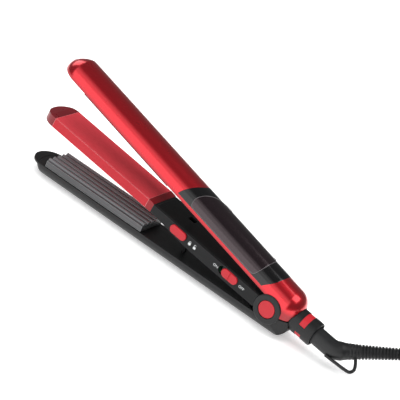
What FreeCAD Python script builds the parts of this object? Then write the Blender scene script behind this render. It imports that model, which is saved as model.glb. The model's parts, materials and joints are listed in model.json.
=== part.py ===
import FreeCAD, Part
import math
import os

V = FreeCAD.Vector
os.makedirs("parts", exist_ok=True)

# ---------------------------------------------------------------- driving dimensions (mm, degrees)
HINGE_Z = 20.0        # hinge axis above the surface that the bottom arm lies on
SHIFT_X = 99.579        # hinge axis ahead of the middle of the object's length
OPEN_MID = 7.07       # middle arm above the bottom arm, open
OPEN_TOP = 15.35      # top arm above the bottom arm, open

ARM_B = 15.5          # half width of bottom and middle arm
TOP_B = 16.15         # half width of the top shell
WALL = 2.0            # shell wall

TOP_RIM = 7.1         # rim of the top shell over the hinge axis, arm closed
TOP_H = 14.0          # depth of the top shell's half-elliptic section
TOP_TIP = -247.4
TOP_TIP_X, TOP_TIP_A = -230.5, 16.9     # where its tip starts to round in plan, and over what length
TOP_TAIL_X, TOP_TAIL_A = 6.3, 13.76     # its tail is a quarter of an ellipsoid
BOT_RIM = -8.6
BOT_H = 11.7          # half-elliptic section, cut flat at the rest face
BOT_FLOOR = -20.0
BOT_TIP = -236.4
BOT_BELLY_X, BOT_BELLY_A = -222.2, 8.9   # the belly's tip is a quarter of an ellipsoid
BOT_LIP = 1.4         # edge that carries the rim on round the tip

SLAB_TOP = 5.0        # face of the middle slab that the top plate closes on
MID_TOP = 4.1         # top of the middle body
PLATE_GAP = 0.15      # left between the flat plates when closed
WAVE_PITCH = 5.9      # crimp ridges
WAVE_AMP = 1.05
WAVE_MID = -2.35      # mean height of the crimp plate's face
WAVE_GAP = 0.35       # left between the two corrugated faces when closed
PLATE_X0, PLATE_X1 = -218.0, -120.0

PIN_R = 2.4
RING_R = 11.6         # raised hinge rings of the bottom arm
RING_CORE = 10.2      # behind the ring's face, where the top shell's sides pass
RING_Y = 17.2         # their outer faces
EAR_TOP_R = 9.5       # ears of the top arm, inside them
BARREL_R = 8.5        # barrel of the middle arm
CAP_R = 6.8

COLLAR_Z = 1.3        # swivel axis in the middle arm
COLLAR_X0, COLLAR_X1 = 17.2, 37.7
COLLAR_R = 9.95
SLEEVE_R = 7.15       # strain relief where it leaves the collar
BEND_FROM_COLLAR = 17.75
CORD_R = 3.1

# ---------------------------------------------------------------- helpers
Z = V(0, 0, 1)
Y = V(0, 1, 0)
X = V(1, 0, 0)


def ln(a, b):
    return Part.LineSegment(V(*a), V(*b)).toShape()


def arc3(a, b, c):
    return Part.Arc(V(*a), V(*b), V(*c)).toShape()


def quarter(a, corner, b, w=math.sqrt(0.5)):
    """Quarter of an ellipse from a to b, tangent to the two sides that meet at corner."""
    c = Part.BezierCurve()
    c.setPoles([V(*a), V(*corner), V(*b)])
    c.setWeight(2, w)
    return c.toShape()


def prism(edges, vec):
    return Part.Face(Part.Wire(edges)).extrude(vec)


def poly(points, vec):
    pts = [V(*p) for p in points] + [V(*points[0])]
    return Part.Face(Part.makePolygon(pts)).extrude(vec)


def box(x0, x1, y0, y1, z0, z1):
    return Part.makeBox(x1 - x0, y1 - y0, z1 - z0, V(x0, y0, z0))


def boxy(x0, x1, half, z0, z1):
    return box(x0, x1, -half, half, z0, z1)


def cyl_y(r, y0, y1, x=0.0, z=0.0):
    return Part.makeCylinder(r, y1 - y0, V(x, y0, z), Y)


def cyl_z(r, z0, z1, x=0.0, y=0.0):
    return Part.makeCylinder(r, z1 - z0, V(x, y, z0), Z)


def cyl_x(r, x0, x1, y=0.0, z=0.0):
    return Part.makeCylinder(r, x1 - x0, V(x0, y, z), X)


def both_y(fn):
    """A piece made for +y, and its mirror image at -y."""
    s = fn()
    return [s, s.mirror(V(0, 0, 0), Y)]


def fuse(*shapes):
    out = shapes[0]
    if len(shapes) > 1:
        out = out.fuse(list(shapes[1:]))
    return out.removeSplitter()


def cut(a, *b):
    return a.cut(list(b))


def rev_x(points, zc=0.0):
    """Solid of revolution about the line y=0, z=zc, from (x, r) points."""
    pts = [V(x, 0, zc + r) for x, r in points]
    f = Part.Face(Part.makePolygon(pts + [pts[0]]))
    return f.revolve(V(0, 0, zc), X, 360)


def rev_y(points, sgn=1):
    """Solid of revolution about the hinge axis, from (y, r) points."""
    pts = [V(0, sgn * y, r) for y, r in points]
    f = Part.Face(Part.makePolygon(pts + [pts[0]]))
    return f.revolve(V(0, 0, 0), Y, 360)


def rev_z(points, cx, cy):
    pts = [V(cx + r, cy, z) for z, r in points]
    f = Part.Face(Part.makePolygon(pts + [pts[0]]))
    return f.revolve(V(cx, cy, 0), Z, 360)


def turned(shape, deg):
    s = shape.copy()
    s.rotate(V(0, 0, 0), Y, deg)
    return s


def stadium_y(x0, x1, z0, z1, y0, y1):
    """Round-ended key along X, extruded along Y."""
    r = (z1 - z0) / 2
    zc = (z0 + z1) / 2
    e = [
        ln((x0 + r, y0, z0), (x1 - r, y0, z0)),
        arc3((x1 - r, y0, z0), (x1, y0, zc), (x1 - r, y0, z1)),
        ln((x1 - r, y0, z1), (x0 + r, y0, z1)),
        arc3((x0 + r, y0, z1), (x0, y0, zc), (x0 + r, y0, z0)),
    ]
    return prism(e, V(0, y1 - y0, 0))


NODES = {}


def keep(name, *shapes, arm=0.0):
    """Store a node: its solids in the arm's frame, turned to the open pose, then set on the surface."""
    solids = []
    for s in shapes:
        s = turned(s, arm) if arm else s.copy()
        s.translate(V(SHIFT_X, 0, HINGE_Z))
        solids += s.Solids
    NODES[name] = solids


def plan(xt, at, xr, ar, b, w=math.sqrt(0.5)):
    """Plan outline of an arm: rounded tip, straight sides, rounded tail."""
    z = -40
    e = [
        quarter((xt, -b, z), (xt - at, -b, z), (xt - at, 0, z), w),
        quarter((xt - at, 0, z), (xt - at, b, z), (xt, b, z), w),
        ln((xt, b, z), (xr, b, z)),
        quarter((xr, b, z), (xr + ar, b, z), (xr + ar, 0, z)),
        quarter((xr + ar, 0, z), (xr + ar, -b, z), (xr, -b, z)),
        ln((xr, -b, z), (xt, -b, z)),
    ]
    return prism(e, V(0, 0, 90))


def u_up(b, h, rim, low):
    """Half ellipse above the rim, straight walls below it."""
    x = -262
    e = [
        ln((x, -b, low), (x, -b, rim)),
        quarter((x, -b, rim), (x, -b, rim + h), (x, 0, rim + h)),
        quarter((x, 0, rim + h), (x, b, rim + h), (x, b, rim)),
        ln((x, b, rim), (x, b, low)),
        ln((x, b, low), (x, -b, low)),
    ]
    return prism(e, V(300, 0, 0))


def u_down(b, h, rim, high):
    x = -262
    e = [
        ln((x, -b, high), (x, -b, rim)),
        quarter((x, -b, rim), (x, -b, rim - h), (x, 0, rim - h)),
        quarter((x, 0, rim - h), (x, b, rim - h), (x, b, rim)),
        ln((x, b, rim), (x, b, high)),
        ln((x, b, high), (x, -b, high)),
    ]
    return prism(e, V(300, 0, 0))


def collar_way(r, x0, x1, up):
    """Clearance for the swivel collar in an arm's tail, open upwards or downwards, in the open pose."""
    c = cyl_x(r, x0, x1, 0, COLLAR_Z)
    slot = boxy(x0, x1, r, COLLAR_Z, COLLAR_Z + 40) if up else boxy(x0, x1, r, COLLAR_Z - 40, COLLAR_Z)
    return turned(fuse(c, slot), OPEN_MID)


# ================================================================ TOP ARM
top_plan_in = plan(TOP_TIP_X, TOP_TIP_A - WALL, 40.0, 20.0, TOP_B - WALL + 0.01)


def egg(x0, a, b, h, zc, sx, sz):
    """Quarter of an ellipsoid: the half on side sx of x0 and side sz of zc."""
    m = FreeCAD.Matrix()
    m.scale(a, b, h)
    e = Part.makeSphere(1.0).transformGeometry(m)
    e.translate(V(x0, 0, zc))
    xa, xb = (x0, x0 + 60) if sx > 0 else (x0 - 60, x0)
    za, zb = (zc, zc + 60) if sz > 0 else (zc - 60, zc)
    return e.common(box(xa, xb, -60, 60, za, zb))


def oval_z(x0, a, b, z0, z1, sx):
    """Half of an elliptic cylinder along Z, on side sx of x0."""
    e = [
        quarter((x0, -b, z0), (x0 + sx * a, -b, z0), (x0 + sx * a, 0, z0)),
        quarter((x0 + sx * a, 0, z0), (x0 + sx * a, b, z0), (x0, b, z0)),
        ln((x0, b, z0), (x0, -b, z0)),
    ]
    return prism(e, V(0, 0, z1 - z0))


def top_profile(t):
    """Side outline of the top shell; t is how far inside the outer surface it lies."""
    y = -30
    zt = TOP_RIM + TOP_H - t
    if t <= 0.9:
        cut_r = RING_CORE + 0.4
        zl = 0.55
        xr, xl = math.sqrt(cut_r ** 2 - zl ** 2), -math.sqrt(cut_r ** 2 - TOP_RIM ** 2)
        e = [
            ln((TOP_TIP + t, y, TOP_RIM), (TOP_TIP + t, y, 9.4)),
            quarter((TOP_TIP + t, y, 9.4), (TOP_TIP + 0.3 + t, y, 13.9 - t), (-244.4 + 0.6 * t, y, 15.3 - t), 0.8),
            ln((-244.4 + 0.6 * t, y, 15.3 - t), (-236.6 + 0.4 * t, y, 20.3 - t)),
            ln((-236.6 + 0.4 * t, y, 20.3 - t), (-233.8 + 0.3 * t, y, zt)),
            ln((-233.8 + 0.3 * t, y, zt), (30, y, zt)),
            ln((30, y, zt), (30, y, 8.0)),
            ln((30, y, 8.0), (15.2, y, 2.0)),
            ln((15.2, y, 2.0), (12.4, y, 1.5)),
            ln((12.4, y, 1.5), (xr, y, zl)),
            arc3((xr, y, zl), (0, y, cut_r), (xl, y, TOP_RIM)),
            ln((xl, y, TOP_RIM), (TOP_TIP + t, y, TOP_RIM)),
        ]
    else:
        e = [
            ln((TOP_TIP + t, y, -12), (TOP_TIP + t, y, 9.0)),
            ln((TOP_TIP + t, y, 9.0), (-242.9, y, 13.6)),
            ln((-242.9, y, 13.6), (-234.4, y, zt)),
            ln((-234.4, y, zt), (30, y, zt)),
            ln((30, y, zt), (30, y, -12)),
            ln((30, y, -12), (TOP_TIP + t, y, -12)),
        ]
    return prism(e, V(0, 60, 0))


def top_form(t, low=-12):
    """Section over the whole length, rounded in plan at the tip, with the tail's quarter ellipsoid."""
    b, h = TOP_B - t, TOP_H - t
    s = u_up(b, h, TOP_RIM, low).common(plan(TOP_TIP_X, TOP_TIP_A - t, 40.0, 20.0, b + 0.01))
    s = s.common(box(-300, TOP_TAIL_X, -40, 40, -40, 60))
    return s.fuse([egg(TOP_TAIL_X, TOP_TAIL_A - t, b, h, TOP_RIM, 1, 1), oval_z(TOP_TAIL_X, TOP_TAIL_A - t, b, low, TOP_RIM, 1)]).removeSplitter()


def top_outer(t=0.0):
    return top_form(t).common(top_profile(t))


def top_crown(t):
    """The outer surface's form ahead of the tail, t below it."""
    b = TOP_B - t
    return u_up(b, TOP_H - t, TOP_RIM, -12).common(box(-180, 0, -40, 40, -40, 60))


top_skin = top_outer()
top_cavity = top_form(WALL, -14).common(top_profile(WALL))
top_shell = top_skin.cut(top_cavity)

# ears on the hinge pin, with webs up to the crown
ears = []
for s in both_y(lambda: fuse(cyl_y(EAR_TOP_R, 9.3, 12.9), box(-6, 6, 9.3, 12.9, 0, 19.0))):
    ears.append(s)
webs = [w.common(fuse(u_up(TOP_B - 1, TOP_H - 1, TOP_RIM, -12))) for w in ears]
top_shell = fuse(top_shell, *webs)
# screw bosses for the inner frame
for bx in (-112.0, -30.0):
    top_shell = fuse(top_shell, cyl_z(3.0, 9.0, 19.5, bx, 0).common(top_outer(0.8)))
for bx in (-112.0, -30.0):
    top_shell = cut(top_shell, cyl_z(0.95, 8.0, 16.5, bx, 0))
top_shell = cut(top_shell, cyl_y(2.6, -20, 20))
# room in the ears for the springs' legs
LEG_R = 3.5
LEG_A = 60.0          # where the springs' legs pass, degrees above the forward direction


def leg_pos(turn):
    a = math.radians(180 - LEG_A)
    x, z = LEG_R * math.cos(a), LEG_R * math.sin(a)
    t = math.radians(turn)
    return x * math.cos(t) - z * math.sin(t), x * math.sin(t) + z * math.cos(t)


# the hole is centred between the leg's places with the arm open and closed, seen from the arm
lx, lz = leg_pos(OPEN_TOP - (OPEN_TOP - OPEN_MID) / 2)
top_shell = cut(top_shell, cyl_y(1.35, 9.0, 13.2, lx, lz), cyl_y(1.35, -13.2, -9.0, lx, lz))

# the display inlay and its recess
INLAY_FRONT = [(-110.2, -16.6), (-107.9, -13.6), (-105.6, -10.2), (-102.4, -4.5), (-100.4, 0), (-99.4, 5), (-99.0, 10), (-99.0, 16.6)]
INLAY_REAR = [(-8.4, 16.6), (-7.6, 12), (-7.2, 7.5), (-7.1, 3), (-7.4, -3), (-8.5, -9.3), (-10.4, -12.7), (-13.3, -15.1), (-16.6, -16.6)]


def region(front, rear, z0=0.0):
    def curve(pts):
        c = Part.BSplineCurve()
        c.interpolate([V(x, y, z0) for x, y in pts])
        return c.toShape()
    a, b = curve(front), curve(rear)
    e = [
        a,
        ln((front[-1][0], front[-1][1], z0), (rear[0][0], rear[0][1], z0)),
        b,
        ln((rear[-1][0], rear[-1][1], z0), (front[0][0], front[0][1], z0)),
    ]
    return prism(e, V(0, 0, 40))


inlay_zone = region(INLAY_FRONT, INLAY_REAR).common(box(-130, 0, -18, 18, 9.6, 30))
recess = inlay_zone.common(top_crown(-0.5).cut(top_crown(0.9)))
top_shell = cut(top_shell, recess)
inlay_zone_in = region([(x + 0.06, y) for x, y in INLAY_FRONT], [(x - 0.06, y) for x, y in INLAY_REAR]).common(
    box(-130, 0, -18, 18, 9.66, 30))
inlay = inlay_zone_in.common(top_crown(0.02).cut(top_crown(0.88)))

LENS_FRONT = [(-91.0, -16.6), (-95.6, -15.5), (-97.0, -13.0), (-95.6, -9.0), (-92.6, -4.0), (-88.0, 1.5), (-80.0, 6.5), (-72.0, 8.6)]
LENS_REAR = [(-29.0, 8.8), (-24.5, 7.2), (-22.6, 3.0), (-22.6, -4.0), (-23.2, -11.4), (-24.4, -14.9), (-29.0, -16.6)]
lens_zone = region(LENS_FRONT, LENS_REAR).common(box(-130, 0, -18, 18, 10.4, 30))
lens = lens_zone.common(top_crown(-0.35).cut(top_crown(-0.02)))

ts = turned(top_shell, OPEN_TOP).cut(collar_way(COLLAR_R + 0.5, 12.0, 30.0, False))
ts.translate(V(SHIFT_X, 0, HINGE_Z))
NODES["top_shell"] = ts.Solids
keep("display_inlay", inlay, arm=OPEN_TOP)
keep("inlay_lens", lens, arm=OPEN_TOP)

# inner frame that closes the shell and holds the plate
frame_t = boxy(-255, -13, 20, 7.3, 8.8).common(plan(TOP_TIP_X, TOP_TIP_A - WALL - 0.3, 2.0, 17.2, 14.0)).common(boxy(-245.0, -13, 20, 7, 9))
frame_t = cut(frame_t, boxy(-216.5, -121.5, 12.3, 6, 10))
frame_t = cut(frame_t, box(-95.85, -93.15, 3.25, 7.75, 6, 10))
for bx in (-112.0, -30.0):
    frame_t = cut(frame_t, cyl_z(1.2, 6, 10, bx, 0), Part.makeCone(2.3, 1.2, 1.1, V(bx, 0, 7.29), Z))
keep("top_inner_frame", frame_t, arm=OPEN_TOP)

# flat plate, floating face below the rim
zf = SLAB_TOP + PLATE_GAP
plate_t = boxy(PLATE_X0, PLATE_X1, 14.3, zf, 6.9)
plate_t = plate_t.makeFillet(0.7, [e for e in plate_t.Edges if abs(e.CenterOfMass.z - zf) < 1e-6])
plate_t = fuse(plate_t, boxy(-216, -122, 12.0, 6.8, 9.1), boxy(-216, -122, 12.9, 9.0, 10.0),
               box(-214, -124, 8.1, 9.6, 9.9, 13.6), box(-214, -124, -9.6, -8.1, 9.9, 13.6))
keep("top_plate", plate_t, arm=OPEN_TOP)
keep("top_heater", boxy(-205, -135, 7.9, 10.1, 12.4), arm=OPEN_TOP)
clamp_t = fuse(boxy(-207, -133, 7.9, 12.5, 13.1), boxy(-175, -165, 7.9, 13.0, 13.9))
keep("top_heater_clamp", clamp_t, arm=OPEN_TOP)
keep("thermal_fuse", fuse(cyl_x(1.7, -196, -184, 0, 14.9), cyl_x(0.5, -200, -180, 0, 14.9)), arm=OPEN_TOP)
keep("top_heater_leads", *[cyl_x(0.8, -131, -17, y, 12.2) for y in (-5.6, 5.6)], arm=OPEN_TOP)

hook_t = fuse(box(-95.6, -93.4, 3.5, 7.5, -1.4, 10.0), box(-93.5, -91.4, 3.5, 7.5, -1.4, 0.2),
              box(-97.2, -91.8, 3.0, 8.0, 8.9, 10.1))
keep("top_latch_hook", hook_t, arm=OPEN_TOP)


def screw(x, y, z_head, up=1, shank=7.0, r=1.15, rh=2.2):
    """Countersunk screw; the head's face at z_head, shank going up (up=1) or down."""
    a = Part.makeCone(rh, r, 1.05, V(x, y, z_head), V(0, 0, up))
    b = Part.makeCylinder(r * 0.78, shank, V(x, y, z_head + up * 1.0), V(0, 0, up))
    return fuse(a, b)


keep("top_screws", *[screw(bx, 0, 7.3, 1, 8.0) for bx in (-112.0, -30.0)], arm=OPEN_TOP)

# ================================================================ BOTTOM ARM
def bot_profile(t):
    """Side outline of the bottom shell, from its straight part to the tail."""
    y = -30
    zf = BOT_FLOOR + t
    if t == 0:
        e = [
            ln((-300, y, BOT_RIM), (5, y, BOT_RIM)),
            ln((5, y, BOT_RIM), (11.4, y, -2.9)),
            ln((11.4, y, -2.9), (18.6, y, -2.9)),
            ln((18.6, y, -2.9), (18.6, y, -9.4)),
            ln((18.6, y, -9.4), (17.7, y, -12.1)),
            ln((17.7, y, -12.1), (16.0, y, -14.1)),
            ln((16.0, y, -14.1), (13.0, y, -16.1)),
            arc3((13.0, y, -16.1), (6.79, y, -19.0), (0, y, zf)),
            ln((0, y, zf), (-300, y, zf)),
            ln((-300, y, zf), (-300, y, BOT_RIM)),
        ]
    else:
        e = [
            ln((-300, y, 6), (16.1, y, 6)),
            ln((16.1, y, 6), (16.1, y, -9.9)),
            ln((16.1, y, -9.9), (12.9, y, -14.3)),
            arc3((12.9, y, -14.3), (8.82, y, -17.04), (4, y, zf)),
            ln((4, y, zf), (-300, y, zf)),
            ln((-300, y, zf), (-300, y, 6)),
        ]
    return prism(e, V(0, 60, 0))


def bot_form(t):
    b, h = ARM_B - t, BOT_H - t
    s = u_down(b, h, BOT_RIM, 8).common(plan(-260, 13.0 - t, 5.0, 16.5 - t, b))
    s = s.common(box(BOT_BELLY_X, 40, -40, 40, -60, 40))
    tip = [egg(BOT_BELLY_X, BOT_BELLY_A - t, b, h, BOT_RIM, -1, -1)]
    if t > 0:
        tip.append(oval_z(BOT_BELLY_X, BOT_BELLY_A - t, b, BOT_RIM, 8, -1))
    s = s.fuse(tip).removeSplitter()
    s = s.common(bot_profile(t))
    if t == 0:
        lip = oval_z(BOT_BELLY_X, -BOT_TIP + BOT_BELLY_X, b, BOT_RIM - BOT_LIP, BOT_RIM, -1)
        s = s.fuse(lip)
    return s


bottom_shell = bot_form(0).cut(bot_form(WALL))


def ring():
    """Raised hinge ring with its web on the pin, for +y; only its face is wide where the top shell passes."""
    pts = [(13.5, 2.6), (15.0, 2.6), (15.0, 7.3), (RING_Y, 7.3), (RING_Y, RING_R - 1.3), (RING_Y - 0.2, RING_R - 0.5),
           (RING_Y - 0.6, RING_R), (RING_Y - 0.75, RING_R), (RING_Y - 0.75, RING_CORE), (13.5, RING_CORE)]
    return fuse(rev_y(pts), cyl_y(RING_R, 13.5, RING_Y - 0.7).cut(cyl_y(7.3, 13, 18)).common(box(-14, 14, 0, 20, -14, -4.6)))


rings = both_y(ring)
bottom_shell = fuse(bottom_shell, *rings)
bottom_shell = cut(bottom_shell, cyl_y(2.6, -20, 20), cyl_y(RING_R + 0.2, -13.45, 13.45))
bottom_shell = fuse(bottom_shell)
lxb, lzb = leg_pos(OPEN_MID - OPEN_MID / 2)
bottom_shell = cut(bottom_shell, cyl_y(1.3, -15.6, -13.0, lxb, lzb))
for bx in (-105.0, -40.0):
    bottom_shell = fuse(bottom_shell, cyl_z(3.4, -18.8, -13.0, bx, 0))
for bx in (-105.0, -40.0):
    bottom_shell = cut(bottom_shell, cyl_z(2.5, -21, -16.2, bx, 0), cyl_z(1.25, -17, -12, bx, 0))
bs = bottom_shell.cut(collar_way(COLLAR_R + 0.5, 10.0, 30.0, True))
bs.translate(V(SHIFT_X, 0, HINGE_Z))
NODES["bottom_shell"] = bs.Solids

frame_b = boxy(-240, -14, 20, -10.2, -8.7).common(boxy(BOT_BELLY_X, 20, 13.2, -20, 0).fuse(oval_z(BOT_BELLY_X, BOT_BELLY_A - WALL - 0.3, 13.2, -20, 0, -1)))
frame_b = cut(frame_b, boxy(-216.5, -121.5, 11.6, -12, -7))
frame_b = cut(frame_b, boxy(-87.85, -85.15, 2.25, -12, -7))
for bx in (-105.0, -40.0):
    frame_b = fuse(frame_b, cyl_z(3.0, -12.9, -10.0, bx, 0))
    frame_b = cut(frame_b, cyl_z(0.95, -14, -9.6, bx, 0))
keep("bottom_inner_frame", frame_b)


def wave_edges(x, z_mid, y_end, flip=False):
    """Corrugated line across the arm, of arcs that meet at half height."""
    q = WAVE_PITCH / 4
    e, y0 = [], -y_end
    n = int(round(2 * y_end / q))
    pts = []
    for i in range(n + 1):
        y = -y_end + i * q
        pts.append((y, z_mid + WAVE_AMP * math.cos(2 * math.pi * y / WAVE_PITCH)))
    return pts


def wave_face(x, z_mid, z_other, half):
    """Closed outline in the plane x: wave from -2.5 pitches to +2.5 pitches, flat out to half."""
    p = WAVE_PITCH
    ye = 2.5 * p
    zv = z_mid - WAVE_AMP
    e = []
    # from valley at -ye: quarter waves as three-point arcs between inflections
    y = -ye
    k = 0
    first = (x, -ye, zv)
    # half valley to the first inflection
    def zz(yy):
        return z_mid + WAVE_AMP * math.cos(2 * math.pi * yy / p)
    infl = [-ye + p / 4 + i * p / 2 for i in range(10)]
    e.append(arc3(first, (x, -ye + p / 8, zz(-ye + p / 8)), (x, infl[0], z_mid)))
    for a, b in zip(infl[:-1], infl[1:]):
        m = (a + b) / 2
        e.append(arc3((x, a, z_mid), (x, m, zz(m)), (x, b, z_mid)))
    e.append(arc3((x, infl[-1], z_mid), (x, ye - p / 8, zz(ye - p / 8)), (x, ye, zv)))
    if half > ye + 1e-6:
        e.append(ln((x, ye, zv), (x, half, zv)))
        e.append(ln((x, half, zv), (x, half, z_other)))
        e.append(ln((x, half, z_other), (x, -half, z_other)))
        e.append(ln((x, -half, z_other), (x, -half, zv)))
        e.append(ln((x, -half, zv), (x, -ye, zv)))
    else:
        e.append(ln((x, ye, zv), (x, ye, z_other)))
        e.append(ln((x, ye, z_other), (x, -ye, z_other)))
        e.append(ln((x, -ye, z_other), (x, -ye, zv)))
    return e


plate_b = prism(wave_face(PLATE_X0, WAVE_MID, -8.3, 0), V(PLATE_X1 - PLATE_X0, 0, 0))
plate_b = fuse(plate_b, boxy(-216, -122, 11.3, -10.4, -8.2), boxy(-216, -122, 12.3, -11.3, -10.35),
               box(-214, -124, 8.1, 9.4, -14.9, -11.2), box(-214, -124, -9.4, -8.1, -14.9, -11.2))
keep("crimp_plate", plate_b)
keep("bottom_heater", boxy(-205, -135, 7.9, -13.7, -11.4))
keep("bottom_heater_clamp", fuse(boxy(-207, -133, 7.9, -14.4, -13.8), boxy(-175, -165, 7.9, -15.2, -14.35)))
keep("bottom_heater_leads", *[cyl_x(0.8, -131, -17, y, -13.2) for y in (-5.4, 5.4)])
hook_b = fuse(boxy(-87.6, -85.4, 2.0, -11.4, 1.0), boxy(-89.6, -87.5, 2.0, -0.6, 1.0), boxy(-90.0, -83.0, 3.2, -11.5, -10.3))
keep("bottom_latch_hook", hook_b)
keep("bottom_screws", *[fuse(cyl_z(2.2, -17.7, -16.3, bx, 0), cyl_z(0.88, -16.4, -9.9, bx, 0)) for bx in (-105.0, -40.0)])

# ================================================================ MIDDLE ARM
def mid_outline(dz, x0, x1, top):
    """Side outline of the middle body between x0 and x1, its underside raised by dz."""
    low = [(-119.0, -3.0), (-101.0, -4.3), (-85.0, -6.0), (-75.0, -6.4), (-12.0, -6.4)]
    pts = []

    def zlow(x):
        for (xa, za), (xb, zb) in zip(low[:-1], low[1:]):
            if xa <= x <= xb:
                return za + (zb - za) * (x - xa) / (xb - xa)
        return low[-1][1] if x > low[-1][0] else low[0][1]
    xs = [x0] + [a for a, _ in low if x0 < a < x1] + [x1]
    for x in xs:
        pts.append((x, -30, zlow(x) + dz))
    pts.append((x1, -30, top))
    pts.append((x0, -30, top))
    return poly(pts, V(0, 60, 0))


outer = boxy(-119.0, -11.0, ARM_B, -10, MID_TOP).common(mid_outline(0, -119.0, -11.0, MID_TOP))
outer = outer.makeChamfer(0.6, [e for e in outer.Edges if abs(e.CenterOfMass.z - MID_TOP) < 1e-6 and abs(abs(e.CenterOfMass.y) - ARM_B) < 1e-6])
inner = boxy(-117.4, -12.6, ARM_B - 1.6, -10, 10).common(mid_outline(1.6, -117.4, -12.6, 10))
mid_body = outer.cut(inner)
# tongue into the slab, hollow for the heater's leads
mid_body = fuse(mid_body, boxy(-123.9, -118.0, 7.9, 0.3, 3.3))
mid_body = cut(mid_body, boxy(-125, -116, 5.5, 1.1, 2.5))
# centre block, barrel and neck
block = boxy(-12.5, -1.0, 8.9, -6.0, MID_TOP).fuse([cyl_y(BARREL_R, -8.9, 8.9), cyl_x(8.0, 1.5, COLLAR_X0, 0, COLLAR_Z),
                                                  cyl_x(7.9, COLLAR_X0 - 1, 22.4, 0, COLLAR_Z)])
block = block.cut([cyl_y(PIN_R + 0.1, -20, 20), cyl_y(4.6, 4.1, 9.5), cyl_y(4.6, -9.5, -4.1)])
for y in (-2.0, 2.0):
    block = block.cut(cyl_x(1.0, -14.0, 19.2, y, 5.2))
mid_body = fuse(mid_body, block)
# clearance for the ears and the rings
mid_body = cut(mid_body, cyl_y(EAR_TOP_R + 0.6, 9.0, 13.45).fuse(cyl_y(EAR_TOP_R + 0.6, -13.45, -9.0)),
               cyl_y(RING_R + 0.5, 13.4, 20), cyl_y(RING_R + 0.5, -20, -13.4))
# holes for the springs' fixed legs and the contacts
mid_body = cut(mid_body, cyl_y(0.85, -4.2, 4.2, -LEG_R, 0))
mid_body = cut(mid_body, cyl_x(5.6, 18.9, 23.0, 0, COLLAR_Z))
# windows: lock slider, power switch, latch hook from below
mid_body = cut(mid_body, box(-96.3, -85.9, -20, -13.0, -2.0, 1.6))
mid_body = cut(mid_body, stadium_y(-49.0, -30.2, -4.1, 3.5, -20, -13.0))
mid_body = cut(mid_body, boxy(-90.8, -84.2, 2.8, -12, 0))
SCREW_M = [(-108.0, 10.5), (-108.0, -10.5), (-15.6, 11.3), (-15.6, -11.3)]
for sx, sy in SCREW_M:
    mid_body = cut(mid_body, cyl_z(1.3, -9, 0.0, sx, sy))
    zs = -3.8 if sx < -60 else -6.4
    mid_body = cut(mid_body, cyl_z(2.2, -9, zs + 0.7, sx, sy))
keep("middle_body", mid_body, arm=OPEN_MID)

cover = boxy(-117.3, -12.7, ARM_B - 1.7, MID_TOP - 1.5, MID_TOP)
for sx, sy in SCREW_M:
    zb = (-3.8 if sx < -60 else -6.4) + 1.75
    cover = fuse(cover, cyl_z(2.1, zb, MID_TOP - 1.4, sx, sy))
    cover = cut(cover, cyl_z(0.8, zb - 1, MID_TOP - 0.9, sx, sy))
cover = cut(cover, box(-96.6, -89.9, 2.5, 8.0, 0, 6), box(-52.0, -25.0, -15, -13.4, 0, 6))
cover = cut(cover, cyl_y(EAR_TOP_R + 0.6, 9.0, 13.45), cyl_y(EAR_TOP_R + 0.6, -13.45, -9.0), boxy(-13.5, -11, 8.95, 0, 6))
keep("middle_cover", cover, arm=OPEN_MID)
keep("middle_screws", *[fuse(cyl_z(1.9, (-3.8 if sx < -60 else -6.4) - 0.2, (-3.8 if sx < -60 else -6.4) + 0.65, sx, sy),
                             cyl_z(0.78, (-3.8 if sx < -60 else -6.4) + 0.6, 2.6, sx, sy)) for sx, sy in SCREW_M], arm=OPEN_MID)

# the slab: flat above, corrugated below, hollow for its heater
slab = prism(wave_face(-226.0, WAVE_MID + WAVE_GAP, SLAB_TOP, ARM_B), V(101.3, 0, 0))
slab = slab.makeChamfer(0.35, [e for e in slab.Edges if abs(e.CenterOfMass.z - SLAB_TOP) < 1e-6 and abs(abs(e.CenterOfMass.y) - ARM_B) < 1e-6])
slab = cut(slab, boxy(-230, -120, 8.0, 0.2, 3.4))
keep("slab_plate", slab, arm=OPEN_MID)

nose = boxy(-242, -226.05, ARM_B, -3.0, SLAB_TOP)
nose = nose.common(plan(-226.5, 13.0, 2.0, 19.5, ARM_B, 0.80))
side = [(-226.05, -30, -3.0), (-226.05, -30, SLAB_TOP), (-232.0, -30, 4.55), (-239.6, -30, 2.9), (-239.6, -30, -1.6), (-236.5, -30, -3.0)]
nose = nose.common(poly(side, V(0, 60, 0)))
nose = fuse(nose, boxy(-226.1, -222.0, 7.9, 0.3, 3.3))
keep("slab_nose_cap", nose, arm=OPEN_MID)

band = prism(wave_face(-124.65, WAVE_MID + WAVE_GAP, SLAB_TOP, ARM_B), V(5.6, 0, 0))
band = band.common(poly([(-124.65, -30, -4.0), (-124.65, -30, SLAB_TOP), (-119.05, -30, MID_TOP + 0.1), (-119.05, -30, -4.0)], V(0, 60, 0)))
band = cut(band, boxy(-126, -118, 8.0, 0.2, 3.4))
keep("slab_rear_band", band, arm=OPEN_MID)

keep("middle_heater", boxy(-205, -140, 7.6, 0.3, 2.5), arm=OPEN_MID)
keep("middle_heater_clamp", boxy(-207, -138, 7.6, 2.6, 3.3), arm=OPEN_MID)
keep("middle_heater_leads", *[cyl_x(0.6, -137.5, -98.5, y, 1.8) for y in (-2.5, 2.5)], arm=OPEN_MID)

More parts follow.
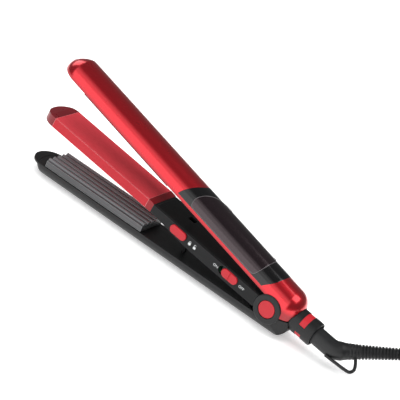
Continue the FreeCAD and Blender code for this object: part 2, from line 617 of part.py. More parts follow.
# control board with its parts, and the slide switch on it
board = [box(-76, -19, -12.0, 13.0, -4.5, -3.3)]
parts_on = [box(-72, -60, 4, 12, -3.25, 1.9), cyl_z(2.6, -3.25, 1.9, -54, 9), cyl_z(2.6, -3.25, 1.9, -47, 9),
            box(-40, -34, 5, 12, -3.25, 0.9), box(-70, -66, -8, -2, -3.25, -1.5), box(-28, -22, -3, 6, -3.25, 0.2),
            cyl_x(1.3, -64, -54, -8.5, -1.9)]
keep("control_board", *board, *parts_on, arm=OPEN_MID)
sw = cut(box(-47.5, -30.5, -12.4, -5.5, -3.2, 2.3), box(-45, -33.0, -13, -9.6, -1.5, 0.9))
keep("slide_switch", sw, arm=OPEN_MID)

# power switch knob: cap in its slot, flange behind the wall, tongue into the switch
knob = stadium_y(-45.6, -30.4, -3.9, 3.3, -16.7, -13.75)
cap_e = [e for e in knob.Edges if abs(e.CenterOfMass.y + 16.7) < 1e-6]
knob = knob.makeFillet(0.55, cap_e)
knob = cut(knob, box(-39.5, -38.9, -17, -15.9, -5, 5), box(-37.3, -36.7, -17, -15.9, -5, 5))
rib = box(-38.75, -37.45, -17.05, -16.0, -2.7, 2.1)
knob = fuse(knob, rib, box(-47.6, -28.2, -13.8, -12.95, -3.95, 2.45), box(-39.6, -36.6, -13.0, -9.9, -1.3, 0.7))
keep("power_switch_knob", knob, arm=OPEN_MID)

# lock slider button and its latch plate
btn = stadium_y(-98.4, -82.7, -3.95, 3.15, -17.05, -15.62)
btn = btn.makeFillet(0.6, [e for e in btn.Edges if abs(e.CenterOfMass.y + 17.05) < 1e-6])
btn = fuse(btn, box(-93.0, -89.2, -15.7, -13.3, -1.6, 1.2))
keep("lock_button", btn, arm=OPEN_MID)
latch = fuse(box(-94.5, -79.5, -13.25, -3.6, -1.6, 1.4), box(-95.8, -90.9, -3.7, 2.2, -2.3, -0.9),
             box(-94.5, -90.9, -6.0, -3.5, -2.3, 1.4), box(-82.0, -79.5, -3.7, 7.8, 0.5, 1.9),
             box(-90.1, -81.9, 3.2, 7.8, 0.5, 1.9))
latch = cut(latch, box(-93.05, -89.15, -14, -13.2, -1.65, 1.25))
keep("latch_plate", latch, arm=OPEN_MID)

# hinge pin with head and nut, washers, springs, caps
pin = fuse(cyl_y(PIN_R, -15.05, 16.0), cyl_y(4.2, 15.1, 16.0))
keep("hinge_pin", pin, arm=OPEN_MID)
nut = rev_y([(15.1, 2.45), (15.1, 4.2), (16.0, 4.2), (16.0, 0.0), (15.1, 0.0)], -1)
keep("hinge_nut", cyl_y(4.2, -16.0, -15.1), arm=OPEN_MID)


def cap():
    return rev_y([(16.15, 0.0), (16.15, 4.55), (15.2, 4.55), (15.2, 5.8), (16.15, 5.8), (16.15, CAP_R), (16.95, CAP_R), (17.08, CAP_R - 0.12),
                  (17.14, CAP_R - 0.35), (17.27, 5.4), (17.39, 3.6), (17.47, 1.8), (17.5, 0.0)])


keep("pivot_caps", *both_y(cap), arm=OPEN_MID)


def coil_pack(y0, y1):
    """Close-wound torsion spring about the pin, its turns grooved, between y0 and y1."""
    w = 1.15
    n = int((y1 - y0) / w + 1e-6)
    pts = [(y0, 2.85)]
    for i in range(n):
        a = y0 + i * w
        pts += [(a, 3.75), (a + 0.25, 4.1), (a + w - 0.25, 4.1), (a + w, 3.75)]
    pts += [(y0 + n * w, 2.85)]
    out = []
    for p in pts:
        if not out or abs(out[-1][0] - p[0]) > 1e-9 or abs(out[-1][1] - p[1]) > 1e-9:
            out.append(p)
    return rev_y(out)


px, pz = LEG_R * math.cos(math.radians(180 - LEG_A)), LEG_R * math.sin(math.radians(180 - LEG_A))
px0, pz0 = px, pz
# the leg's place is given in the open pose, so it is turned back into the middle arm's frame
t = math.radians(OPEN_MID)
mx, mz = px0 * math.cos(t) - pz0 * math.sin(t), px0 * math.sin(t) + pz0 * math.cos(t)
keep("pivot_washers", *both_y(lambda: cut(rev_y([(13.0, 2.6), (13.4, 2.6), (13.4, 6.6), (13.0, 6.6)]), cyl_y(0.75, 12.5, 14.0, mx, mz))), arm=OPEN_MID)
spring_t = fuse(coil_pack(4.2, 8.8), cyl_y(0.6, 8.0, 12.4, mx, mz), cyl_y(0.6, 1.2, 4.6, -LEG_R, 0))
spring_b = fuse(coil_pack(4.2, 8.8).mirror(V(0, 0, 0), Y), cyl_y(0.6, -14.6, -8.0, mx, mz), cyl_y(0.6, -4.6, -1.2, -LEG_R, 0))
keep("top_torsion_spring", spring_t, arm=OPEN_MID)
keep("bottom_torsion_spring", spring_b, arm=OPEN_MID)

# swivel collar: cage with two windows, red liner in them
cage = rev_x([(COLLAR_X0, 8.15), (COLLAR_X0, COLLAR_R - 0.35), (COLLAR_X0 + 0.35, COLLAR_R), (36.9, COLLAR_R), (37.45, COLLAR_R - 0.2),
              (COLLAR_X1, COLLAR_R - 0.6), (COLLAR_X1, 8.75), (35.9, 8.45), (35.9, 7.5), (35.45, 7.5), (35.45, 8.15)], COLLAR_Z)


def wedge(x0, x1, a0, a1, r=20.0):
    """Sector about the collar axis between two angles, measured from +y towards +z."""
    n = 8
    pts = [(x0, 0, COLLAR_Z)]
    for i in range(n + 1):
        a = math.radians(a0 + (a1 - a0) * i / n)
        pts.append((x0, r * math.cos(a), COLLAR_Z + r * math.sin(a)))
    return poly(pts, V(x1 - x0, 0, 0))


win = [(22, 164), (202, 344)]
for a0, a1 in win:
    cage = cut(cage, wedge(24.5, 30.0, a0, a1))
keep("swivel_socket", cage, arm=OPEN_MID)
liner = rev_x([(22.6, 7.35), (22.6, 8.05), (32.8, 8.05), (32.8, 7.35)], COLLAR_Z)
pads = [rev_x([(24.6, 7.9), (24.6, COLLAR_R - 0.3), (29.9, COLLAR_R - 0.3), (29.9, 7.9)], COLLAR_Z).common(wedge(24.0, 31.0, a0 + 0.7, a1 - 0.7)) for a0, a1 in win]
keep("socket_liner", fuse(liner, *pads), arm=OPEN_MID)
keep("brush_contacts", rev_x([(19.2, 0.0), (19.2, 1.9), (22.8, 1.9), (22.8, 0.0)], COLLAR_Z),
     rev_x([(19.2, 3.7), (19.2, 4.7), (22.8, 4.7), (22.8, 3.7)], COLLAR_Z), arm=OPEN_MID)
keep("mains_leads", *[cyl_x(0.7, -12.4, 19.1, y, 5.2) for y in (-2.0, 2.0)], arm=OPEN_MID)

# ================================================================ CORD SWIVEL
keep("slip_rings", rev_x([(22.95, 0.0), (22.95, 1.9), (23.5, 1.9), (23.5, 0.0)], COLLAR_Z),
     rev_x([(22.95, 3.7), (22.95, 4.7), (23.5, 4.7), (23.5, 3.7)], COLLAR_Z), arm=OPEN_MID)
core = rev_x([(23.55, 0.0), (23.55, 7.1), (33.1, 7.1), (33.1, 7.9), (35.2, 7.9), (35.2, 0.0)], COLLAR_Z)
keep("swivel_core", core, arm=OPEN_MID)

tm = math.radians(OPEN_MID)
AX = V(math.cos(tm), 0, -math.sin(tm))                      # swivel axis, pointing at the cord
C0 = V(COLLAR_X1 * math.cos(tm) + COLLAR_Z * math.sin(tm), 0, -COLLAR_X1 * math.sin(tm) + COLLAR_Z * math.cos(tm))
PB = C0 + AX * BEND_FROM_COLLAR                             # corner of the bend
D = V(0.7739, 0.5776, 0.2688)
D.normalize()
NB = AX.cross(D)
NB.normalize()
OUT = NB.cross(D)                                           # across the ribbed part, on the loop's side
if OUT.dot(AX) < 0:
    OUT = OUT * -1
TURN = math.degrees(math.acos(AX.dot(D)))
SET = 5.0
RB = SET / math.tan(math.radians(TURN / 2))

straight = Part.makeCylinder(SLEEVE_R, (PB - AX * SET - (C0 - AX * 2.4)).Length, C0 - AX * 2.4, AX)
e0 = PB - AX * SET
inward = (D - AX * AX.dot(D))
inward.normalize()
centre = e0 + inward * RB
circ = Part.Face(Part.Wire(Part.makeCircle(SLEEVE_R, e0, AX)))
elbow = circ.revolve(centre, AX.cross(inward), TURN)
RIB_PITCH = 2.46
RIB_R = [(8.0, 6.45), (12.0, 6.15), (18.0, 5.75), (24.0, 5.5), (30.0, 5.25), (36.0, 5.03), (42.0, 4.85), (50.0, 4.58), (58.0, 4.3)]
LEN = 58.0
LOOP = [(-7.0, 3.8), (7.4, 15.9), (11.4, 17.3), (15.3, 13.4), (15.5, 4.2)]     # hanging loop: along the ribbed part, and out from its axis


def rib_r(s):
    for (a, ra), (b, rb) in zip(RIB_R[:-1], RIB_R[1:]):
        if s <= b:
            return ra + (rb - ra) * (s - a) / (b - a)
    return RIB_R[-1][1]


prof = [(SET, 0.0), (SET, SLEEVE_R), (8.0, rib_r(8.0))]
s = 17.15 - 3 * RIB_PITCH
while s < 56.5:
    deep = 0.22 if s < 14.0 else (0.5 if s < 18.0 else 0.95)
    prof += [(s, rib_r(s)), (s + 0.25, rib_r(s) - deep), (s + 0.95, rib_r(s) - deep), (s + 1.2, rib_r(s + 1.2))]
    s += RIB_PITCH
prof += [(LEN, rib_r(LEN)), (LEN, 0.0)]
pts = [PB + D * a + OUT * r for a, r in prof]
taper = Part.Face(Part.makePolygon(pts + [pts[0]])).revolve(PB, D, 360)


def route_wire(points, label, frac=0.45, quiet=False):
    """Straight runs joined by tangent arcs, each as large as its two runs allow."""
    P = [V(*p) if not isinstance(p, FreeCAD.Vector) else p for p in points]
    edges, last, length, radii = [], P[0], 0.0, []
    for i in range(1, len(P) - 1):
        a, b = P[i] - P[i - 1], P[i + 1] - P[i]
        turn = a.getAngle(b)
        L = frac * min(a.Length, b.Length)
        r = L / math.tan(turn / 2)
        radii.append((round(r, 1), round(math.degrees(turn))))
        ua, ub = a * (1 / a.Length), b * (1 / b.Length)
        s0, s1 = P[i] - ua * L, P[i] + ub * L
        bis = (ub - ua)
        bis.normalize()
        cen = P[i] + bis * (r / math.cos(turn / 2))
        mid = cen - bis * r
        edges.append(Part.LineSegment(last, s0).toShape())
        ar = Part.Arc(s0, mid, s1).toShape()
        edges.append(ar)
        last = s1
    edges.append(Part.LineSegment(last, P[-1]).toShape())
    w = Part.Wire(edges)
    if not quiet:
        print(label, "length", round(w.Length, 1), "radii (mm, turn)", radii, "runs", [round((P[i + 1] - P[i]).Length, 1) for i in range(len(P) - 1)])
    return w


def tube(wire, r):
    e = wire.Edges[0]
    p0 = wire.OrderedVertexes[0].Point
    t0 = e.tangentAt(e.FirstParameter)
    prof = Part.Wire(Part.makeCircle(r, p0, t0))
    return wire.makePipeShell([prof], True, True)


loop2d = LOOP
loop_pts = [PB + D * a + OUT * b for a, b in loop2d]
loop_wire = route_wire(loop_pts, "hanging loop")
loop = tube(loop_wire, 1.25)
strain = fuse(straight, elbow, taper)
strain = fuse(strain, loop)
ss = strain.copy()
ss.translate(V(SHIFT_X, 0, HINGE_Z))
NODES["strain_relief"] = ss.Solids

# ================================================================ CORD, in the object's frame
END = PB + D * LEN
END = V(END.x + SHIFT_X, END.y, END.z + HINGE_Z)
print("cord leaves at", [round(c, 2) for c in END], "direction", [round(c, 4) for c in D])
HANK_L, HANK_R, HANK_Y = 250.0, 332.0, 18.2      # centres of the hank's two folds
HANK_OUT, HANK_IN = 34.7, 15.7                  # outside and inside radius of the folds, over all turns
TRACK = 31.5                                    # centre line of the outer turn
ROUTE_A = [tuple(END + D * 0.3), (211.4, 42.2, 34.1), (227.0, 49.0, 31.5), (243.0, 50.5, 21.5), (257.0, 49.8, 11.8), (272.0, 49.7, 9.3)]
w = route_wire(ROUTE_A, "cord from the swivel")
tube_a = tube(w, CORD_R)
print("volume", round(tube_a.Volume), "section x length", round(math.pi * CORD_R ** 2 * w.Length), "lowest", round(tube_a.BoundBox.ZMin, 3))


def race(r, z):
    """Outline with two straight runs and two round ends."""
    return Part.Wire([
        Part.LineSegment(V(HANK_R, HANK_Y - r, z), V(HANK_L, HANK_Y - r, z)).toShape(),
        Part.Arc(V(HANK_L, HANK_Y - r, z), V(HANK_L - r, HANK_Y, z), V(HANK_L, HANK_Y + r, z)).toShape(),
        Part.LineSegment(V(HANK_L, HANK_Y + r, z), V(HANK_R, HANK_Y + r, z)).toShape(),
        Part.Arc(V(HANK_R, HANK_Y + r, z), V(HANK_R + r, HANK_Y, z), V(HANK_R, HANK_Y - r, z)).toShape()])


coil = Part.Face(race(HANK_OUT, 0.0)).extrude(V(0, 0, 12.4)).cut(Part.Face(race(HANK_IN, -1.0)).extrude(V(0, 0, 14.4)))
rims = [e for e in coil.Edges if e.BoundBox.ZLength < 1e-6]
coil = coil.makeChamfer(1.3, rims)
P_OUT = V(HANK_R, HANK_Y + TRACK, 3.2)
HEAD = V(0.809, -0.5878, 0)
SIDE = V(0.5878, 0.809, 0)
PLUG_AT = V(370.3, 38.4, 7.0)
ROUTE_B = [tuple(P_OUT), (345.5, 49.3, 4.2), (359.5, 46.2, 6.2), tuple(PLUG_AT)]
w2 = route_wire(ROUTE_B, "cord to the plug")
tube_b = tube(w2, CORD_R)
print("volume", round(tube_b.Volume), "section x length", round(math.pi * CORD_R ** 2 * w2.Length), "lowest", round(tube_b.BoundBox.ZMin, 3))

ya, yb = HANK_Y - HANK_OUT, HANK_Y - HANK_IN
tie = cut(box(285.0, 297.0, ya - 0.9, yb + 0.9, 0.0, 13.3), box(284.0, 298.0, ya - 0.1, yb + 0.1, 0.7, 12.6))
coil = coil.cut(tie)
NODES["cord_tube"] = tube_a.Solids
NODES["cord_plug_lead"] = tube_b.Solids
NODES["cord_coil"] = coil.Solids
NODES["coil_tie"] = tie.Solids

# plug along +x from its neck's end, then turned to lie beyond the hank
body = poly([(11, -6.5, -6), (16, -12, -6), (22, -17.5, -6), (47, -17.5, -6), (47, 17.5, -6), (22, 17.5, -6), (16, 12, -6), (11, 6.5, -6)], V(0, 0, 13))
body = fuse(body, rev_x([(0.0, 0), (0.0, 4.0), (12.0, 5.6), (12.0, 0)], 0.0))
body = body.common(box(-1, 60, -20, 20, -7, 7))
body.translate(V(0, 0, 0))
pins = [cyl_x(2.0, 45.0, 66.0, y, 0.5) for y in (-9.5, 9.5)]
body = cut(body, *pins)


def lay(s):
    s = s.copy()
    s.translate(V(0, 0, -0.5))
    s.rotate(V(0, 0, 0), Z, math.degrees(math.atan2(HEAD.y, HEAD.x)))
    s.translate(PLUG_AT)
    return s


NODES["plug_body"] = lay(body).Solids
NODES["plug_pins"] = [x for p in pins for x in lay(p).Solids]

# ================================================================ write
allbox = FreeCAD.BoundBox()
own = FreeCAD.BoundBox()
CORD = {"cord_tube", "cord_plug_lead", "cord_coil", "coil_tie", "plug_body", "plug_pins", "strain_relief"}
for name, solids in NODES.items():
    bad = [s for s in solids if not s.isValid() or s.Volume <= 0]
    comp = solids[0] if len(solids) == 1 else Part.makeCompound(solids)
    comp.exportStep("parts/%s.step" % name)
    bb = comp.optimalBoundingBox(False, False)
    allbox.add(bb)
    if name not in CORD:
        own.add(bb)
    print("%-22s solids %2d vol %9.1f  x %7.1f %7.1f  y %6.1f %6.1f  z %6.1f %6.1f %s" % (
        name, len(solids), sum(s.Volume for s in solids), bb.XMin, bb.XMax, bb.YMin, bb.YMax, bb.ZMin, bb.ZMax, "INVALID" if bad else ""))
print("object without the cord: x %.3f %.3f  y %.3f %.3f  z %.3f %.3f  mid x %.3f" % (
    own.XMin, own.XMax, own.YMin, own.YMax, own.ZMin, own.ZMax, (own.XMin + own.XMax) / 2))
print("nodes", len(NODES))
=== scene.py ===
import json
import math

import bpy
import bmesh
from mathutils import Matrix, Vector


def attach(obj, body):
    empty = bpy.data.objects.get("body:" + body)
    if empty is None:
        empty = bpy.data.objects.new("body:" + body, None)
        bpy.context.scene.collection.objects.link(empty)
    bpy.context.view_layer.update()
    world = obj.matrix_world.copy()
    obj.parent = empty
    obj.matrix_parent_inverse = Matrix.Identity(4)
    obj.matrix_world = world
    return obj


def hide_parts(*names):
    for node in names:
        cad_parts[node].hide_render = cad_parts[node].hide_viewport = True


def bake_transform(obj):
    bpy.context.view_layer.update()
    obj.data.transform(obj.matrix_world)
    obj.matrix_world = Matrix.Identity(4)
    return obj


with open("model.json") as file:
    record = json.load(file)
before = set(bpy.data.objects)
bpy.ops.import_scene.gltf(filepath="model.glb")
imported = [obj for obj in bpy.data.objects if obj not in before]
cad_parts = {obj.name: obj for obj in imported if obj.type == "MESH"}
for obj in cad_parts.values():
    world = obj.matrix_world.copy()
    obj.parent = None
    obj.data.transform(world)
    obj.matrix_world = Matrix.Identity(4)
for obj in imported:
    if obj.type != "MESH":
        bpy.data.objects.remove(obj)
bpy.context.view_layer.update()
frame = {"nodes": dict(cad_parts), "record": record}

MM = 0.001
XS, HZ = 99.579, 20.0            # hinge axis in the frame, mm
OPEN_MID, OPEN_TOP = 7.07, 15.35
scene = bpy.context.scene
coll = scene.collection


def arm_matrix(deg):
    """An arm's own frame (hinge at the origin, metres) to the whole frame."""
    t = math.radians(deg)
    return Matrix.Translation((XS * MM, 0, HZ * MM)) @ Matrix(((math.cos(t), 0, math.sin(t), 0), (0, 1, 0, 0), (-math.sin(t), 0, math.cos(t), 0), (0, 0, 0, 1)))


MID, TOP, BOT = arm_matrix(OPEN_MID), arm_matrix(OPEN_TOP), arm_matrix(0.0)

# ---------------------------------------------------------------- camera
AZ, EL, ROLL = 23.64, 25.32, 23.33
DIST, TX, TY, FOCAL = 1221.53, 57.63, -77.02, 1644.25
a, e, r = math.radians(AZ), math.radians(EL), math.radians(ROLL)
back = Vector((math.sin(a) * math.cos(e), -math.cos(a) * math.cos(e), math.sin(e)))
fwd = -back
right0 = fwd.cross(Vector((0, 0, 1))).normalized()
up0 = right0.cross(fwd)
right = right0 * math.cos(r) + up0 * math.sin(r)
up = up0 * math.cos(r) - right0 * math.sin(r)
eye = (right * -TX - up * TY - fwd * DIST + Vector((XS, 0, HZ))) * MM
cam_data = bpy.data.cameras.new("camera")
cam_data.sensor_width = 36.0
cam_data.lens = FOCAL * 36.0 / 400.0
cam_data.clip_start, cam_data.clip_end = 0.05, 50.0
cam = bpy.data.objects.new("camera", cam_data)
coll.objects.link(cam)
cam.matrix_world = Matrix((
    (right.x, up.x, back.x, eye.x),
    (right.y, up.y, back.y, eye.y),
    (right.z, up.z, back.z, eye.z),
    (0, 0, 0, 1)))
scene.camera = cam


# ---------------------------------------------------------------- mesh helpers
def new_mesh(name, verts, faces, smooth=True, weld=True, flat_angle=None):
    """verts in metres in the frame at rest; faces wound so that their outside shows."""
    me = bpy.data.meshes.new(name)
    bm = bmesh.new()
    vs = [bm.verts.new(v) for v in verts]
    for f in faces:
        if len(set(f)) > 2:
            try:
                bm.faces.new([vs[i] for i in f])
            except ValueError:
                pass
    if weld:
        bmesh.ops.remove_doubles(bm, verts=bm.verts, dist=2e-6)
        bmesh.ops.dissolve_degenerate(bm, edges=bm.edges, dist=1e-7)
        loose = [v for v in bm.verts if not v.link_faces]
        bmesh.ops.delete(bm, geom=loose, context="VERTS")
    bmesh.ops.recalc_face_normals(bm, faces=bm.faces)
    bm.to_mesh(me)
    bm.free()
    me.polygons.foreach_set("use_smooth", [smooth] * len(me.polygons))
    if flat_angle:
        me.set_sharp_from_angle(angle=math.radians(flat_angle))
    ob = bpy.data.objects.new(name, me)
    coll.objects.link(ob)
    return ob


def strip(rows, closed_rows=False, closed_cols=False, offset=0):
    """Quads between rows of equally many points."""
    n, m = len(rows), len(rows[0])
    faces = []
    for i in range(n if closed_rows else n - 1):
        for j in range(m if closed_cols else m - 1):
            i2, j2 = (i + 1) % n, (j + 1) % m
            faces.append((offset + i * m + j, offset + i * m + j2, offset + i2 * m + j2, offset + i2 * m + j))
    return faces


def at(matrix, p):
    return matrix @ Vector((p[0] * MM, p[1] * MM, p[2] * MM))


def interp(x, pts):
    """Smooth curve through (x, y) points, tangents limited so that it doesn't overshoot."""
    n = len(pts)
    if x <= pts[0][0]:
        return pts[0][1]
    if x >= pts[-1][0]:
        return pts[-1][1]
    k = max(i for i in range(n - 1) if pts[i][0] <= x)
    d = [(pts[i + 1][1] - pts[i][1]) / (pts[i + 1][0] - pts[i][0]) for i in range(n - 1)]

    def slope(i):
        if i == 0:
            return d[0]
        if i == n - 1:
            return d[-1]
        if d[i - 1] * d[i] <= 0:
            return 0.0
        return 2 * d[i - 1] * d[i] / (d[i - 1] + d[i])
    h = pts[k + 1][0] - pts[k][0]
    t = (x - pts[k][0]) / h
    m0, m1 = slope(k) * h, slope(k + 1) * h
    return ((2 * t ** 3 - 3 * t * t + 1) * pts[k][1] + (t ** 3 - 2 * t * t + t) * m0
            + (-2 * t ** 3 + 3 * t * t) * pts[k + 1][1] + (t ** 3 - t * t) * m1)


def sweep(points, radius, sides=20, cap=True):
    """Tube along points (metres); radius is a number or a list, one for each point. Returns verts, faces."""
    pts = [Vector(p) for p in points]
    n = len(pts)
    tang = [(pts[min(i + 1, n - 1)] - pts[max(i - 1, 0)]).normalized() for i in range(n)]
    ref = Vector((0, 0, 1)) if abs(tang[0].z) < 0.9 else Vector((1, 0, 0))
    u = (ref - tang[0] * ref.dot(tang[0])).normalized()
    verts, rows = [], []
    for i in range(n):
        if i:
            u = (u - tang[i] * u.dot(tang[i])).normalized()
        v = tang[i].cross(u)
        rr = radius[i] if isinstance(radius, (list, tuple)) else radius
        row = [pts[i] + (u * math.cos(2 * math.pi * k / sides) + v * math.sin(2 * math.pi * k / sides)) * rr for k in range(sides)]
        rows.append(row)
        verts += row
    faces = strip(rows, closed_cols=True)
    if cap:
        for i, sign in ((0, -1), (n - 1, 1)):
            c = len(verts)
            rr = radius[i] if isinstance(radius, (list, tuple)) else radius
            verts.append(pts[i] + tang[i] * (sign * rr * 0.02))
            for k in range(sides):
                faces.append((i * sides + k, i * sides + (k + 1) % sides, c))
    return verts, faces


def spline_points(name, points, resolution):
    """Points along a smooth NURBS line that has the given control points (metres)."""
    cu = bpy.data.curves.new(name, "CURVE")
    cu.dimensions = "3D"
    sp = cu.splines.new("NURBS")
    sp.points.add(len(points) - 1)
    for q, p in zip(sp.points, points):
        q.co = (p[0], p[1], p[2], 1.0)
    sp.order_u = 3
    sp.use_endpoint_u = True
    cu.resolution_u = resolution
    ob = bpy.data.objects.new(name, cu)
    coll.objects.link(ob)
    bpy.context.view_layer.update()
    deps = bpy.context.evaluated_depsgraph_get()
    me = bpy.data.meshes.new_from_object(ob.evaluated_get(deps))
    out = [v.co.copy() for v in me.vertices]
    bpy.data.meshes.remove(me)
    bpy.data.objects.remove(ob)
    bpy.data.curves.remove(cu)
    return out


# ---------------------------------------------------------------- cord: one line from the strain relief to the plug
CORD_R = 0.0031
ROUTE_A = [(0.19978, 0.03359, 0.03010), (0.2114, 0.0422, 0.0341), (0.2270, 0.0490, 0.0315), (0.2430, 0.0505, 0.0215),
           (0.2570, 0.0498, 0.0118), (0.2720, 0.0497, 0.0093)]
HANK_L, HANK_R, HANK_Y = 0.2500, 0.3320, 0.0182
ROUTE_B = [(0.3320, 0.0497, 0.0032), (0.3455, 0.0493, 0.0042), (0.3595, 0.0462, 0.0062), (0.3703, 0.0384, 0.0070)]


def ease(x, x0, x1):
    t = min(1.0, max(0.0, (x - x0) / (x1 - x0)))
    return t * t * (3 - 2 * t)


def hank_place(u):
    """Distance from the hank's middle line and height at u: whole numbers are the starts of fold, run, fold, run."""
    rad = 0.0315 - 0.0063 * (ease(u, 1.1, 1.98) + ease(u, 5.1, 5.98)) + 0.0063 * (ease(u, 12.0, 12.6) + ease(u, 16.0, 16.6))
    z = 0.0093 - 0.0062 * ease(u, 8.4, 9.15)
    return rad, z


# the hank's turns, as more points of the same line: four in each run and eight in each fold
turns = [(HANK_L + 0.030 + 0.017 * k, HANK_Y + 0.0315, 0.0093) for k in range(4)]
for u in range(20):
    kind = u % 4
    for k in range(8 if kind % 2 == 0 else 4):
        w = (k + 0.5) / 8 if kind % 2 == 0 else (0.11 + 0.26 * k)
        rad, z = hank_place(u + w)
        if kind == 0 or kind == 2:
            ang = math.radians((90.0 if kind == 0 else -90.0) - 180.0 * w)
            g = rad / math.cos(math.radians(11.25))
            turns.append(((HANK_R if kind == 0 else HANK_L) + g * math.cos(ang), HANK_Y + g * math.sin(ang), z))
        elif kind == 1:
            turns.append((HANK_R + (HANK_L - HANK_R) * w, HANK_Y - rad, z))
        else:
            turns.append((HANK_L + (HANK_R - HANK_L) * w, HANK_Y + rad, z))
cord_points = spline_points("route", ROUTE_A + turns + ROUTE_B, 6)
verts, faces = sweep(cord_points, CORD_R, 22)
cord = new_mesh("cord", verts, faces, weld=False)

